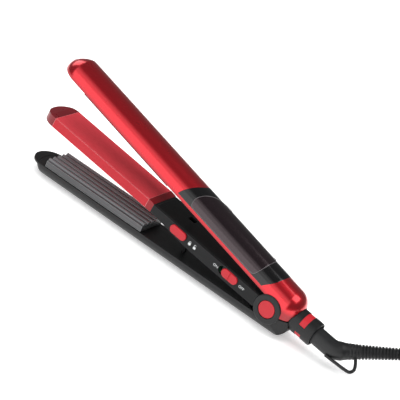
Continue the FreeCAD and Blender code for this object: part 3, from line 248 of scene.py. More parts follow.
# ---------------------------------------------------------------- materials
def material(name, color, rough, metallic=0.0, coat=0.0, coat_rough=0.03, spec=0.5, vary=0.10, vary_scale=28.0,
             rough_vary=0.05, grain=0.0, grain_scale=2600.0, bevel=0.35, edge=0.0, edge_color=None, scratch=0.0,
             brush=None, flake=0.0, dust=0.0, sheen=0.0, weave=None, tint=None, even=False, painted_top_light=None, groove=None, painted_low_shade=None):
    m = bpy.data.materials.new(name)
    m.use_nodes = True
    nt = m.node_tree
    N, L = nt.nodes, nt.links
    p = N["Principled BSDF"]
    p.inputs["Metallic"].default_value = metallic
    p.inputs["Specular IOR Level"].default_value = spec
    p.inputs["Coat Weight"].default_value = coat
    p.inputs["Coat Roughness"].default_value = coat_rough
    p.inputs["Sheen Weight"].default_value = sheen
    if tint:
        p.inputs["Specular Tint"].default_value = (tint[0], tint[1], tint[2], 1)
        p.inputs["Coat Tint"].default_value = (1, 1, 1, 1)
    tc = N.new("ShaderNodeTexCoord")
    place = tc.outputs["Object"]

    def noise_tex(scale, detail=4.0, rough_n=0.55, vec=None, dist=0.0):
        t = N.new("ShaderNodeTexNoise")
        t.inputs["Scale"].default_value = scale
        t.inputs["Detail"].default_value = detail
        t.inputs["Roughness"].default_value = rough_n
        t.inputs["Distortion"].default_value = dist
        L.new(vec or place, t.inputs["Vector"])
        return t.outputs["Fac"]

    def stretch(sx, sy, sz):
        mp = N.new("ShaderNodeMapping")
        mp.inputs["Scale"].default_value = (sx, sy, sz)
        L.new(place, mp.inputs["Vector"])
        return mp.outputs["Vector"]

    def remap(value, a0, a1, b0, b1):
        t = N.new("ShaderNodeMapRange")
        t.inputs["From Min"].default_value = a0
        t.inputs["From Max"].default_value = a1
        t.inputs["To Min"].default_value = b0
        t.inputs["To Max"].default_value = b1
        L.new(value, t.inputs["Value"])
        return t.outputs["Result"]

    def math_node(op, x, y):
        t = N.new("ShaderNodeMath")
        t.operation = op
        for i, v in ((0, x), (1, y)):
            if isinstance(v, (int, float)):
                t.inputs[i].default_value = v
            else:
                L.new(v, t.inputs[i])
        return t.outputs[0]

    def mix_color(fac, c1, c2):
        t = N.new("ShaderNodeMix")
        t.data_type = "RGBA"
        L.new(fac, t.inputs[0])
        for i, c in ((6, c1), (7, c2)):
            if isinstance(c, tuple):
                t.inputs[i].default_value = (c[0], c[1], c[2], 1)
            else:
                L.new(c, t.inputs[i])
        return t.outputs[2]

    dark = tuple(max(0.0, c * (1 - vary)) for c in color)
    light = tuple(min(1.0, c * (1 + vary) + 0.002 * vary) for c in color)
    big = remap(noise_tex(vary_scale, 5.0), 0.32, 0.68, 0, 1)
    col = mix_color(big, dark, light)
    if painted_top_light:
        # painted light: the flat faces, square to the middle arm, are painted a shade lighter than the sides, for the
        # light that falls on the flat top
        fd = N.new("ShaderNodeVectorMath")
        fd.operation = "DOT_PRODUCT"
        L.new(tc.outputs["Normal"], fd.inputs[0])
        fd.inputs[1].default_value = (math.sin(math.radians(7.07)), 0.0, math.cos(math.radians(7.07)))
        top_light_mask = remap(math_node("ABSOLUTE", fd.outputs["Value"], 0.0), 0.90, 0.97, 0, 1)
        top_light_color = mix_color(big, tuple(c * (1 - vary) for c in painted_top_light), tuple(c * (1 + vary) for c in painted_top_light))
        col = mix_color(top_light_mask, col, top_light_color)
    if painted_low_shade:
        # painted shade: where the normal turns from the top arm's up direction to level, low on its upright sides, the
        # colour goes over to a darker red
        up_dot = N.new("ShaderNodeVectorMath")
        up_dot.operation = "DOT_PRODUCT"
        L.new(tc.outputs["Normal"], up_dot.inputs[0])
        up_dot.inputs[1].default_value = (math.sin(math.radians(OPEN_TOP)), 0.0, math.cos(math.radians(OPEN_TOP)))
        col = mix_color(remap(up_dot.outputs["Value"], 0.34, 0.02, 0, 1), col, painted_low_shade)
    if groove:
        # painted shade: the low parts between the ridges, where they face up, are darkened to near black
        low, high, valley_shade_color = groove
        pos = N.new("ShaderNodeSeparateXYZ")
        L.new(place, pos.inputs[0])
        nrm = N.new("ShaderNodeSeparateXYZ")
        L.new(tc.outputs["Normal"], nrm.inputs[0])
        deep = math_node("MULTIPLY", remap(pos.outputs["Z"], high, low, 0, 1), remap(nrm.outputs["Z"], 0.3, 0.6, 0, 1))
        col = mix_color(deep, col, valley_shade_color)
        # and painted shade on the upright sides, darkened to 0.15 of the colour
        upright_shade = remap(math_node("ABSOLUTE", nrm.outputs["Z"], 0.0), 0.25, 0.05, 0, 1)
        col = mix_color(upright_shade, col, tuple(c * 0.15 for c in color))
    small = noise_tex(vary_scale * 9, 6.0, 0.6)
    rv = remap(small, 0.3, 0.7, rough - rough_vary, rough + rough_vary)
    bv = N.new("ShaderNodeBevel")
    bv.samples = 6
    bv.inputs["Radius"].default_value = bevel * MM
    normal = bv.outputs["Normal"]
    geo = N.new("ShaderNodeNewGeometry")
    # edges found by the Bevel normal take edge_color: painted highlight on the ceramic slab, the crimp ridges and the
    # black rims, painted shade on the red lacquer's rims, light edge wear on the other finishes
    if edge:
        bw = N.new("ShaderNodeBevel")
        bw.samples = 6
        bw.inputs["Radius"].default_value = bevel * MM * 1.6
        dot = N.new("ShaderNodeVectorMath")
        dot.operation = "DOT_PRODUCT"
        L.new(bw.outputs["Normal"], dot.inputs[0])
        L.new(geo.outputs["Normal"], dot.inputs[1])
        edge_wear_and_light = remap(dot.outputs["Value"], 0.99, 0.86, 0, 1)
        patchy = remap(noise_tex(160.0, 6.0, 0.7), 0.35, 0.75, 0.75 if even else 0.25, 1.0)
        edge_wear_and_light = math_node("MULTIPLY", math_node("MULTIPLY", edge_wear_and_light, patchy), edge)
        col = mix_color(edge_wear_and_light, col, edge_color or tuple(min(1.0, c * 1.6 + 0.03) for c in color))
        rv = math_node("ADD", rv, math_node("MULTIPLY", edge_wear_and_light, 0.08))
    if dust:
        specks = remap(noise_tex(900.0, 8.0, 0.75), 0.62, 0.80, 0, dust)
        col = mix_color(specks, col, tuple(min(1.0, c + 0.10) for c in color))
        rv = math_node("ADD", rv, math_node("MULTIPLY", specks, 0.35))
    if scratch:
        lines = remap(noise_tex(1.0, 3.0, 0.6, stretch(70, 2300, 2300), 0.6), 0.66, 0.74, 0, scratch)
        lines2 = remap(noise_tex(1.0, 3.0, 0.6, stretch(2100, 120, 260), 0.8), 0.68, 0.76, 0, scratch * 0.6)
        both = math_node("MAXIMUM", lines, lines2)
        rv = math_node("ADD", rv, math_node("MULTIPLY", both, 0.22))
    heights = []
    if flake:
        vo = N.new("ShaderNodeTexVoronoi")
        vo.inputs["Scale"].default_value = 5200.0
        L.new(place, vo.inputs["Vector"])
        sp = N.new("ShaderNodeSeparateColor")
        L.new(vo.outputs["Color"], sp.inputs[0])
        spark = remap(sp.outputs[0], 0.0, 1.0, 0, flake)
        col = mix_color(spark, col, tuple(min(1.0, c * 1.5 + 0.02) for c in color))
        heights.append((vo.outputs["Distance"], 0.0000006 * flake * 10))
    if brush:
        br = noise_tex(1.0, 4.0, 0.65, stretch(*brush))
        heights.append((br, 0.0000045))
        rv = math_node("ADD", rv, remap(br, 0.3, 0.7, -0.06, 0.06))
        col = mix_color(remap(br, 0.3, 0.7, 0, 0.35), col, tuple(min(1.0, c * 1.35 + 0.01) for c in color))
    if grain:
        heights.append((noise_tex(grain_scale, 3.0, 0.6), grain * 0.00001))
        heights.append((noise_tex(grain_scale * 0.22, 2.0, 0.5), grain * 0.000006))
    if weave:
        wa = N.new("ShaderNodeTexWave")
        wa.inputs["Scale"].default_value = weave
        wa.bands_direction = "X"
        L.new(place, wa.inputs["Vector"])
        wb = N.new("ShaderNodeTexWave")
        wb.inputs["Scale"].default_value = weave
        wb.bands_direction = "Y"
        L.new(place, wb.inputs["Vector"])
        wv = math_node("MULTIPLY", wa.outputs["Fac"], wb.outputs["Fac"])
        heights.append((wv, 0.00012))
        col = mix_color(remap(wv, 0.0, 1.0, 0, 0.6), col, tuple(c * 2.2 + 0.01 for c in color))
    last = normal
    for h, dist in heights:
        bp = N.new("ShaderNodeBump")
        bp.inputs["Strength"].default_value = 1.0
        bp.inputs["Distance"].default_value = dist
        L.new(h, bp.inputs["Height"])
        L.new(last, bp.inputs["Normal"])
        last = bp.outputs["Normal"]
    L.new(last, p.inputs["Normal"])
    if coat:
        L.new(normal, p.inputs["Coat Normal"])
    L.new(col, p.inputs["Base Color"])
    cl = N.new("ShaderNodeClamp")
    cl.inputs["Min"].default_value = 0.02
    cl.inputs["Max"].default_value = 1.0
    L.new(rv, cl.inputs["Value"])
    L.new(cl.outputs[0], p.inputs["Roughness"])
    return m


M = {}
# painted shade on the lacquer: its low upright sides are darkened by normal direction, and its rims and the tip crease
# are edged with dark red
M["red_metallic"] = material("lacquer_red", (0.68, 0.012, 0.024), 0.28, metallic=0.92, coat=0.90, coat_rough=0.13, painted_low_shade=(0.30, 0.003, 0.009), vary=0.04,
                             vary_scale=9, rough_vary=0.012, flake=0.02, bevel=0.3, edge=0.95, edge_color=(0.10, 0.005, 0.010), scratch=0.05, even=True)
M["gloss_black"] = material("gloss_black", (0.0026, 0.0025, 0.003), 0.14, spec=0.60, vary=0.15, rough_vary=0.02, dust=0.02, scratch=0.15, bevel=0.25)
M["lens"] = material("lens_smoke", (0.0042, 0.0018, 0.0030), 0.17, spec=0.75, coat=0.40, coat_rough=0.12, tint=(1.0, 0.78, 0.84), vary=0.10, rough_vary=0.02, dust=0.02, scratch=0.12, bevel=0.25)
# black rims: edge_color paints a lighter line along the edges (painted highlight)
M["black_plastic"] = material("black_satin", (0.0062, 0.0066, 0.0070), 0.40, spec=0.34, vary=0.18, rough_vary=0.05, grain=0.9,
                              grain_scale=2400, bevel=0.45, edge=0.40, edge_color=(0.030, 0.031, 0.033), scratch=0.12, dust=0.04)
M["body_black"] = material("black_body", (0.0040, 0.0044, 0.0048), 0.36, spec=0.22, vary=0.18, rough_vary=0.05, grain=0.7,
                           grain_scale=2600, bevel=0.5, edge=0.8, edge_color=(0.050, 0.051, 0.053), scratch=0.10, dust=0.04, even=True)
# ceramic slab: its flat faces get a lighter colour (painted light) and its edges a light pink line (painted highlight)
M["red_ceramic"] = material("ceramic_red", (0.40, 0.010, 0.019), 0.42, metallic=0.10, spec=0.30, painted_top_light=(0.86, 0.070, 0.092), vary=0.05, vary_scale=16,
                            rough_vary=0.05, brush=(12, 1900, 1900), bevel=0.45, edge=1.0, edge_color=(0.95, 0.42, 0.42), scratch=0.12, even=True)
# painted shade: the top plate takes a dark copy of the red ceramic, for its side in shade under the shell's rim
M["plate_shaded_red"] = material("plate_shaded_red", (0.12, 0.005, 0.010), 0.42, metallic=0.15, spec=0.30, vary=0.06, vary_scale=16, rough_vary=0.05,
                          brush=(12, 1900, 1900), bevel=0.4, edge=0.2, scratch=0.12)
M["nose_red"] = material("nose_red", (0.19, 0.006, 0.012), 0.30, spec=0.34, coat=0.1, coat_rough=0.15, vary=0.10, rough_vary=0.04, grain=0.4, bevel=0.5, edge=0.25, scratch=0.08)
M["band_red"] = material("band_red", (0.24, 0.007, 0.012), 0.33, spec=0.34, vary=0.10, rough_vary=0.04, grain=0.4, bevel=0.4, edge=0.25, scratch=0.08)
M["red_plastic"] = material("switch_red", (0.45, 0.011, 0.020), 0.36, spec=0.36, vary=0.06, vary_scale=60, rough_vary=0.04, grain=0.5, grain_scale=3200, bevel=0.3, edge=0.3, scratch=0.10)
# crimp plate: painted shade in the valleys and on the upright sides, painted highlight along the ridge edges
M["titanium_grey"] = material("titanium_coat", (0.175, 0.180, 0.188), 0.40, groove=(0.0174, 0.0186, (0.012, 0.013, 0.015)), metallic=0.15, spec=0.6, vary=0.08, rough_vary=0.05, brush=(14, 2400, 2400), bevel=0.42,
                              edge=0.9, edge_color=(0.34, 0.345, 0.35), scratch=0.15, even=True)
M["black_rubber"] = material("rubber_black", (0.0075, 0.0078, 0.0085), 0.44, spec=0.42, vary=0.15, vary_scale=60, rough_vary=0.06, grain=1.0, grain_scale=3000, bevel=0.2, dust=0.04, edge=0.2)
# lens rim bead: a raised rim, whose grey, lighter than the lens, is partly painted highlight along the rim
M["bead"] = material("bead_grey_painted_highlight", (0.075, 0.066, 0.070), 0.24, spec=0.9, coat=0.4, coat_rough=0.1, vary=0.15, rough_vary=0.04, bevel=0.05)
M["steel"] = material("steel_plain", (0.55, 0.55, 0.56), 0.28, metallic=1.0, vary=0.08, rough_vary=0.08, brush=(1500, 60, 60), bevel=0.2, edge=0.3, scratch=0.3)
M["brass"] = material("brass_plain", (0.70, 0.52, 0.22), 0.30, metallic=1.0, vary=0.10, rough_vary=0.08, grain=0.4, bevel=0.15, edge=0.3, scratch=0.3)
M["heater_foil"] = material("amber_film", (0.62, 0.34, 0.06), 0.34, spec=0.5, vary=0.18, rough_vary=0.08, grain=1.2, grain_scale=900, bevel=0.2, coat=0.4, coat_rough=0.12)
M["circuit_board"] = material("board_green", (0.03, 0.17, 0.07), 0.38, spec=0.5, vary=0.2, rough_vary=0.08, grain=0.8, grain_scale=1500, bevel=0.15)
M["wire_red"] = material("wire_red", (0.42, 0.02, 0.02), 0.42, spec=0.4, vary=0.1, grain=0.6, bevel=0.1)
M["wire_white"] = material("wire_white", (0.72, 0.72, 0.70), 0.46, spec=0.4, vary=0.06, grain=0.6, bevel=0.1, dust=0.1)
M["black_tie"] = material("woven_tie", (0.012, 0.012, 0.013), 0.8, spec=0.25, vary=0.2, sheen=0.3, weave=900.0, bevel=0.1)
M["ink"] = material("print_white", (0.60, 0.62, 0.62), 0.55, spec=0.3, vary=0.12, vary_scale=400, rough_vary=0.08, grain=0.3, grain_scale=5000, bevel=0.02)
PLACE = {"top_plate": "plate_shaded_red", "slab_nose_cap": "nose_red", "slab_rear_band": "band_red", "middle_body": "body_black", "middle_cover": "body_black"}
for item in frame["record"]["subparts"]:
    ob = frame["nodes"][item["node"]]
    mat = M[PLACE.get(item["node"], item["material_slot"])]
    if not ob.material_slots:
        ob.data.materials.append(mat)
    for s in ob.material_slots:
        s.material = mat


def finish_piece(ob, mat, body, replaces=()):
    ob.data.materials.append(M[mat])
    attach(ob, body)
    if replaces:
        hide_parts(*replaces)
    return ob


# ---------------------------------------------------------------- top shell: half ellipse section, rounded nose, domed tail
RIM, TB, TH = 7.1, 16.15, 14.0
CREASE = -235.9
TAIL_X, TAIL_A = 6.3, 13.76
NOSE = -247.4


def nose_height(x):
    if x >= CREASE:
        return 1.0

    def f(x):
        v = min(0.9999, max(0.0, (-234.82 - x) / 14.31))
        return (1 - v ** 1.48) ** (1 / 1.48)
    return f(x) / f(CREASE)


def top_section(x):
    """Half-width and height of the section at x."""
    b, h = TB, TH
    if x < -230.52:
        u = min(1.0, (-230.52 - x) / 16.88)
        b = TB * max(0.0, 1 - u ** 2.14) ** (1 / 2.14)
    if x < CREASE:
        h = TH * nose_height(x)
    if x > TAIL_X:
        u = min(1.0, (x - TAIL_X) / TAIL_A)
        k = math.sqrt(max(0.0, 1 - u * u))
        b, h = TB * k, TH * k
    return b, h


def top_low(x):
    """Lower edge of the side wall."""
    rr = 10.6
    if x < -math.sqrt(rr * rr - RIM * RIM):
        return RIM
    if x < 10.585:
        return max(0.55, math.sqrt(max(0.0, rr * rr - x * x)))
    return interp(x, [(10.585, 0.55), (12.4, 1.5), (15.2, 2.0), (20.5, 4.4)])


def top_row(x, b, h, n, low):
    """Section from the near lower edge over the top to the far one, evenly spaced."""
    rim = RIM
    if low > rim and h > 0:
        th0 = math.asin(min(0.999, (low - rim) / h))
    else:
        th0 = 0.0
    poly = []
    if low < rim - 1e-6:
        k = 12
        poly += [(-b, low + (rim - low) * i / k) for i in range(k)]
    m = 240
    for i in range(m + 1):
        t = th0 + (math.pi - 2 * th0) * i / m
        poly.append((-b * math.cos(t), rim + h * math.sin(t)))
    if low < rim - 1e-6:
        poly += [(b, rim - (rim - low) * (i + 1) / k) for i in range(k)]
    d = [0.0]
    for p, q in zip(poly[:-1], poly[1:]):
        d.append(d[-1] + math.hypot(q[0] - p[0], q[1] - p[1]))
    out, j = [], 0
    for i in range(n):
        s = d[-1] * i / (n - 1)
        while j < len(d) - 2 and d[j + 1] < s:
            j += 1
        w = 0 if d[j + 1] == d[j] else (s - d[j]) / (d[j + 1] - d[j])
        out.append((x, poly[j][0] + (poly[j + 1][0] - poly[j][0]) * w, poly[j][1] + (poly[j + 1][1] - poly[j][1]) * w))
    return out


def top_stations():
    xs = [(NOSE + 16.88 * (1 - math.cos(math.radians(90.0 * i / 30)))) for i in range(31)]
    xs = [x for x in xs if x < CREASE - 0.3] + [CREASE - 0.25, CREASE, CREASE + 0.25] + [x for x in xs if x > CREASE + 0.5]
    xs += [-230.52 + 4.2 * i for i in range(1, 53)]
    x = xs[-1]
    while x < -8.6:
        x += 1.4
        xs.append(min(x, -8.4))
    xs += [-8.1, -7.87]
    x = -7.87
    while x < 5.9:
        x += 0.55
        xs.append(x)
    xs = [x for x in xs if x < 6.2] + [TAIL_X]
    for i in range(1, 41):
        xs.append(TAIL_X + TAIL_A * math.sin(math.radians(90.0 * i / 40)))
    xs += [10.2, 10.45, 10.57, 10.585]
    return sorted(set(round(x, 4) for x in xs))


def shell_solid(name):
    xs = top_stations()
    n = 89
    outer, inner = [], []
    T = 2.0
    for x in xs:
        b, h = top_section(x)
        low = top_low(x)
        outer.append(top_row(x, b, h, n, low))
        # the inside follows 2 mm within
        if x < -230.52:
            k = (x + 230.52) / 16.88
            xi = -230.52 + k * (16.88 - T)
        elif x > TAIL_X:
            xi = TAIL_X + (x - TAIL_X) * (TAIL_A - T) / TAIL_A
        else:
            xi = x
        bi = max(0.0, b - T * min(1.0, b / TB * 1.0)) if (x < -230.52 or x > TAIL_X) else b - T
        if x < -230.52 or x > TAIL_X:
            bi = b * (TB - T) / TB
        hi = h - T if x <= TAIL_X else h * (TH - T) / TH
        hi = max(hi, 0.6 if x < 0 else 0.0)
        inner.append(top_row(xi, bi, hi, n, min(low, RIM + hi * 0.9) if hi > 0 else low))
    rows = []
    for o, i in zip(outer, inner):
        near = (o[0], i[0])
        far = (o[-1], i[-1])
        ring = [Vector(p) for p in o]
        # soften both rims in the section
        def lip(po, pi, up_pt):
            po, pi, up_pt = Vector(po), Vector(pi), Vector(up_pt)
            d = (pi - po)
            w = d.length
            if w < 0.4:
                return []
            return [po + d * (0.28 / w)]
        ring_full = ring + lip(o[-1], i[-1], o[-2]) + [Vector(p) for p in reversed(i)] + lip(o[0], i[0], o[1])[::-1]
        rows.append(ring_full)
    m = max(len(r_) for r_ in rows)
    fixed = []
    for r_, o, i in zip(rows, outer, inner):
        if len(r_) < m:
            ring = [Vector(p) for p in o] + [Vector(o[-1]).lerp(Vector(i[-1]), 0.5)] + [Vector(p) for p in reversed(i)] + [Vector(o[0]).lerp(Vector(i[0]), 0.5)]
            r_ = ring
        fixed.append(r_)
    # lift the outer rim points a little, for a rounded edge
    for r_ in fixed:
        for k0, k1 in ((0, 1), (n - 1, n - 2)):
            d = r_[k1] - r_[k0]
            if d.length > 0.3:
                r_[k0] = r_[k0] + d * (0.25 / d.length)
    verts = [at(TOP, p) for row in fixed for p in row]
    faces = strip(fixed, closed_cols=True)
    # close both ends, whose rings are folded flat
    return new_mesh(name, verts, faces, smooth=True)


def collar_cutter():
    """Arch-shaped block, the way of the swivel collar through the tail, open downwards."""
    r_, x0, x1 = 10.45, 11.0, 32.0
    prof = []
    for i in range(65):
        t = math.pi * i / 64
        prof.append((r_ * math.cos(t), 1.3 + r_ * math.sin(t)))
    prof += [(-r_, -40.0), (r_, -40.0)]
    v = [at(MID, (x0, y, z)) for y, z in prof] + [at(MID, (x1, y, z)) for y, z in prof]
    k = len(prof)
    fs = [(i, (i + 1) % k, k + (i + 1) % k, k + i) for i in range(k)] + [tuple(range(k)), tuple(range(2 * k - 1, k - 1, -1))]
    return new_mesh("cutter", v, fs, smooth=False)


def cut_by(ob, cutter):
    md = ob.modifiers.new("cut", "BOOLEAN")
    md.operation, md.solver, md.object = "DIFFERENCE", "EXACT", cutter
    bpy.context.view_layer.update()
    deps = bpy.context.evaluated_depsgraph_get()
    me = bpy.data.meshes.new_from_object(ob.evaluated_get(deps))
    ob.modifiers.remove(md)
    old = ob.data
    ob.data = me
    bpy.data.meshes.remove(old)
    bpy.data.objects.remove(cutter)
    me.set_sharp_from_angle(angle=math.radians(40))
    return ob


shell = shell_solid("top_shell_skin")
shell = cut_by(shell, collar_cutter())
back_to_arm = TOP.inverted()
local = [back_to_arm @ v.co for v in shell.data.vertices]
for edge in shell.data.edges:
    p0, p1 = (local[i] / MM for i in edge.vertices)
    if abs(p0.x - CREASE) < 0.02 and abs(p1.x - CREASE) < 0.02 and min(p0.z, p1.z) > RIM + 9.0:
        edge.use_edge_sharp = True
finish_piece(shell, "red_metallic", "top_arm", ["top_shell"])


# ---------------------------------------------------------------- display inlay and its lens, curved with the shell
def on_top(x, th, off):
    b, h = TB, TH
    y, z = -b * math.cos(th), RIM + h * math.sin(th)
    nrm = Vector((0, -math.cos(th) / b, math.sin(th) / h)).normalized()
    return Vector((x, y, z)) + nrm * off


def patch(name, th0, th1, front, rear, rise, sink, lip, nt=90, nx=120):
    """Curved plate on the shell between two outlines, with a rounded rim; closed underneath."""
    def edge_list(n, w, total):
        k = [w * (1 - math.cos(math.radians(90 * i / 5))) / total for i in range(6)]
        inner = [k[-1] + (1 - 2 * k[-1]) * i / (n - 1) for i in range(1, n - 1)]
        return k + inner + [1 - v for v in reversed(k)]
    arc = (TB + TH) / 2 * (th1 - th0)
    ts = edge_list(nt, lip, arc)
    length = 80.0
    us = edge_list(nx, lip, length)
    rows_top, rows_bot = [], []
    for tv in ts:
        th = th0 + (th1 - th0) * tv
        y = -TB * math.cos(th)
        x0, x1 = interp(y, front), interp(y, rear)
        row = []
        for uv in us:
            d = min(tv * arc, (1 - tv) * arc, uv * length, (1 - uv) * length)
            drop = 0.0 if d >= lip else 1 - math.sqrt(max(0.0, 1 - (1 - d / lip) ** 2))
            row.append(on_top(x0 + (x1 - x0) * uv, th, rise - (rise + sink) * drop))
        rows_top.append(row)
        rows_bot.append([on_top(x0 + (x1 - x0) * uv, th, -sink - 0.25) for uv in us])
    n, m_ = len(rows_top), len(rows_top[0])
    verts = [at(TOP, p) for row in rows_top for p in row]
    faces = strip(rows_top)
    off = len(verts)
    verts += [at(TOP, p) for row in rows_bot for p in row]
    faces += [tuple(reversed(f_)) for f_ in strip(rows_bot, offset=off)]
    for j in range(m_ - 1):
        faces.append((j + 1, j, off + j, off + j + 1))
        b0 = (n - 1) * m_
        faces.append((b0 + j, b0 + j + 1, off + b0 + j + 1, off + b0 + j))
    for i in range(n - 1):
        faces.append((i * m_, (i + 1) * m_, off + (i + 1) * m_, off + i * m_))
        faces.append(((i + 1) * m_ + m_ - 1, i * m_ + m_ - 1, off + i * m_ + m_ - 1, off + (i + 1) * m_ + m_ - 1))
    return new_mesh(name, verts, faces, smooth=True, weld=False, flat_angle=60)


INLAY_FRONT = [(-16.6, -110.2), (-13.6, -107.9), (-10.2, -105.6), (-4.5, -102.4), (0, -100.4), (5, -99.4), (10, -99.0), (16.6, -99.0)]
INLAY_REAR = [(-16.6, -16.6), (-15.1, -13.3), (-12.7, -10.4), (-9.3, -8.5), (-3, -7.4), (3, -7.1), (7.5, -7.2), (12, -7.6), (16.6, -8.4)]
LENS_FRONT = [(-16.6, -91.0), (-15.5, -95.6), (-13.0, -97.0), (-9.0, -95.6), (-4.0, -92.6), (1.5, -88.0), (6.5, -80.0), (8.6, -72.0)]
LENS_REAR = [(-16.6, -29.0), (-14.9, -24.4), (-11.4, -23.2), (-4.0, -22.6), (3.0, -22.6), (7.2, -24.5), (8.8, -29.0)]
inlay = patch("display_inlay_panel", math.asin((9.66 - RIM) / TH), math.pi - math.asin((9.66 - RIM) / TH), INLAY_FRONT, INLAY_REAR, 0.10, 0.22, 0.45)
finish_piece(inlay, "gloss_black", "top_arm", ["display_inlay"])
lens = patch("display_lens", math.asin((10.4 - RIM) / TH), math.acos(-8.7 / TB), LENS_FRONT, LENS_REAR, 0.42, 0.05, 0.7)
finish_piece(lens, "lens", "top_arm", ["inlay_lens"])


def lens_bead(name):
    """Thin raised line round the lens: its front end, its near edge and its rear end."""
    th_near = math.asin((10.4 - RIM) / TH) + 0.012
    y_near = -TB * math.cos(th_near)
    line = []
    for i in range(60):
        y = 8.0 + (y_near - 8.0) * i / 59
        line.append((interp(y, LENS_FRONT) + 0.25, math.acos(-y / TB)))
    x0, x1 = interp(y_near, LENS_FRONT) + 0.25, interp(y_near, LENS_REAR) - 0.25
    for i in range(1, 60):
        line.append((x0 + (x1 - x0) * i / 60, th_near))
    for i in range(60):
        y = y_near + (8.0 - y_near) * i / 59
        line.append((interp(y, LENS_REAR) - 0.25, math.acos(-y / TB)))
    smooth_line = list(line)
    for _ in range(3):
        smooth_line = [smooth_line[0]] + [tuple((smooth_line[i - 1][c] + 2 * smooth_line[i][c] + smooth_line[i + 1][c]) / 4 for c in (0, 1)) for i in range(1, len(smooth_line) - 1)] + [smooth_line[-1]]
    pts = [at(TOP, on_top(x, th, 0.36)) for x, th in smooth_line]
    v, f_ = sweep(pts, 0.00028, 12)
    return new_mesh(name, v, f_, smooth=True, weld=False)


bead = lens_bead("lens_rim_bead")
finish_piece(bead, "bead", "top_arm")


# ---------------------------------------------------------------- lock slider button and power switch knob
def stadium_button(name, x0, x1, z0, z1, y_base, y_top, groove=None, crown=0.25, rib=None):
    """Rounded-end button on the middle arm's near face: domed top, rounded rim, an optional cross groove."""
    cx, cz = (x0 + x1) / 2, (z0 + z1) / 2
    hx, hz = (x1 - x0) / 2, (z1 - z0) / 2
    rr = hz
    seg = 28

    def outline(inset):
        r2 = max(0.05, rr - inset)
        pts = []
        for i in range(seg + 1):
            t = -math.pi / 2 + math.pi * i / seg
            pts.append((cx + (hx - rr) + r2 * math.cos(t), cz + r2 * math.sin(t)))
        for k in range(1, 26):
            pts.append((cx + (hx - rr) * (1 - 2 * k / 26.0), cz + r2))
        for i in range(seg + 1):
            t = math.pi / 2 + math.pi * i / seg
            pts.append((cx - (hx - rr) + r2 * math.cos(t), cz + r2 * math.sin(t)))
        for k in range(1, 26):
            pts.append((cx - (hx - rr) * (1 - 2 * k / 26.0), cz - r2))
        return pts

    def lift(x, inset):
        up_ = crown * (1 - (1 - min(1.0, inset / rr)) ** 2)
        if groove is not None:
            d = abs(x - groove) / 0.62
            up_ -= 0.75 * max(0.0, 1 - d * d) * min(1.0, inset / 0.5)
        return up_
    rows = []
    edge_r = 0.55
    rows.append([(x, y_base, z) for x, z in outline(0)])
    rows.append([(x, y_top + edge_r + 0.3, z) for x, z in outline(0)])
    for i in range(0, 7):
        t = math.radians(90 * i / 6)
        ins = edge_r * (1 - math.cos(t))
        rows.append([(x, y_top + edge_r * (1 - math.sin(t)) - lift(x, ins) * (i / 6.0), z) for x, z in outline(ins)])
    for k in range(1, 15):
        ins = edge_r + (rr - 0.08 - edge_r) * k / 14
        rows.append([(x, y_top - lift(x, ins), z) for x, z in outline(ins)])
    verts = [at(MID, p) for row in rows for p in row]
    m_ = len(rows[0])
    faces = strip(rows, closed_cols=True)
    # close the middle seam and the hidden base
    last = (len(rows) - 1) * m_
    half = m_ // 2
    for j in range(half):
        a_, b_ = last + j, last + (j + 1) % m_
        c_, d_ = last + (m_ - 1 - j) - 0, last + (m_ - 2 - j) % m_
    centre_row = []
    ring = [rows[-1][j] for j in range(m_)]
    base = len(verts)
    for x, y, z in ring:
        verts.append(at(MID, (x if abs(x - cx) < hx - rr else (cx + (hx - rr) * (1 if x > cx else -1)), y_top - lift(x, rr), cz)))
    for j in range(m_):
        faces.append((last + j, last + (j + 1) % m_, base + (j + 1) % m_, base + j))
    faces.append(tuple(range(m_ - 1, -1, -1)))
    return new_mesh(name, verts, faces, smooth=True, flat_angle=60)


button = stadium_button("lock_slider_button", -98.4, -82.7, -3.95, 3.15, -15.62, -16.85, crown=0.18)
finish_piece(button, "red_plastic", "lock_slider", ["lock_button"])
knob = stadium_button("power_knob", -45.6, -30.4, -3.9, 3.3, -13.8, -16.55, groove=-38.1, crown=0.25)
finish_piece(knob, "red_plastic", "power_switch", ["power_switch_knob"])


# ---------------------------------------------------------------- pivot caps, turned profile
def cap_disc(name, side):
    prof = [(16.16, 0.0), (16.16, 6.55), (16.55, 6.8), (16.85, 6.8)]
    for i in range(1, 9):
        t = math.radians(90 * i / 8)
        prof.append((16.85 + 0.3 * math.sin(t), 6.5 + 0.3 * math.cos(t)))
    for i in range(1, 15):
        rr = 6.5 * (1 - i / 14.0)
        prof.append((17.15 + 0.34 * (1 - (rr / 6.5) ** 2), rr))
    n = 72
    rows = [[(rr * math.cos(2 * math.pi * k / n), side * y, rr * math.sin(2 * math.pi * k / n)) for k in range(n)] for y, rr in prof]
    verts = [at(MID, p) for row in rows for p in row]
    return new_mesh(name, verts, strip(rows, closed_cols=True), smooth=True, flat_angle=50)


cap_a = cap_disc("pivot_cap_near", -1)
finish_piece(cap_a, "red_plastic", "middle_arm", ["pivot_caps"])
cap_b = cap_disc("pivot_cap_far", 1)
finish_piece(cap_b, "red_plastic", "middle_arm")


# ---------------------------------------------------------------- printed marks on the middle arm's near face
def on_face(x, z, off):
    return at(MID, (x, -15.5 - off, z))


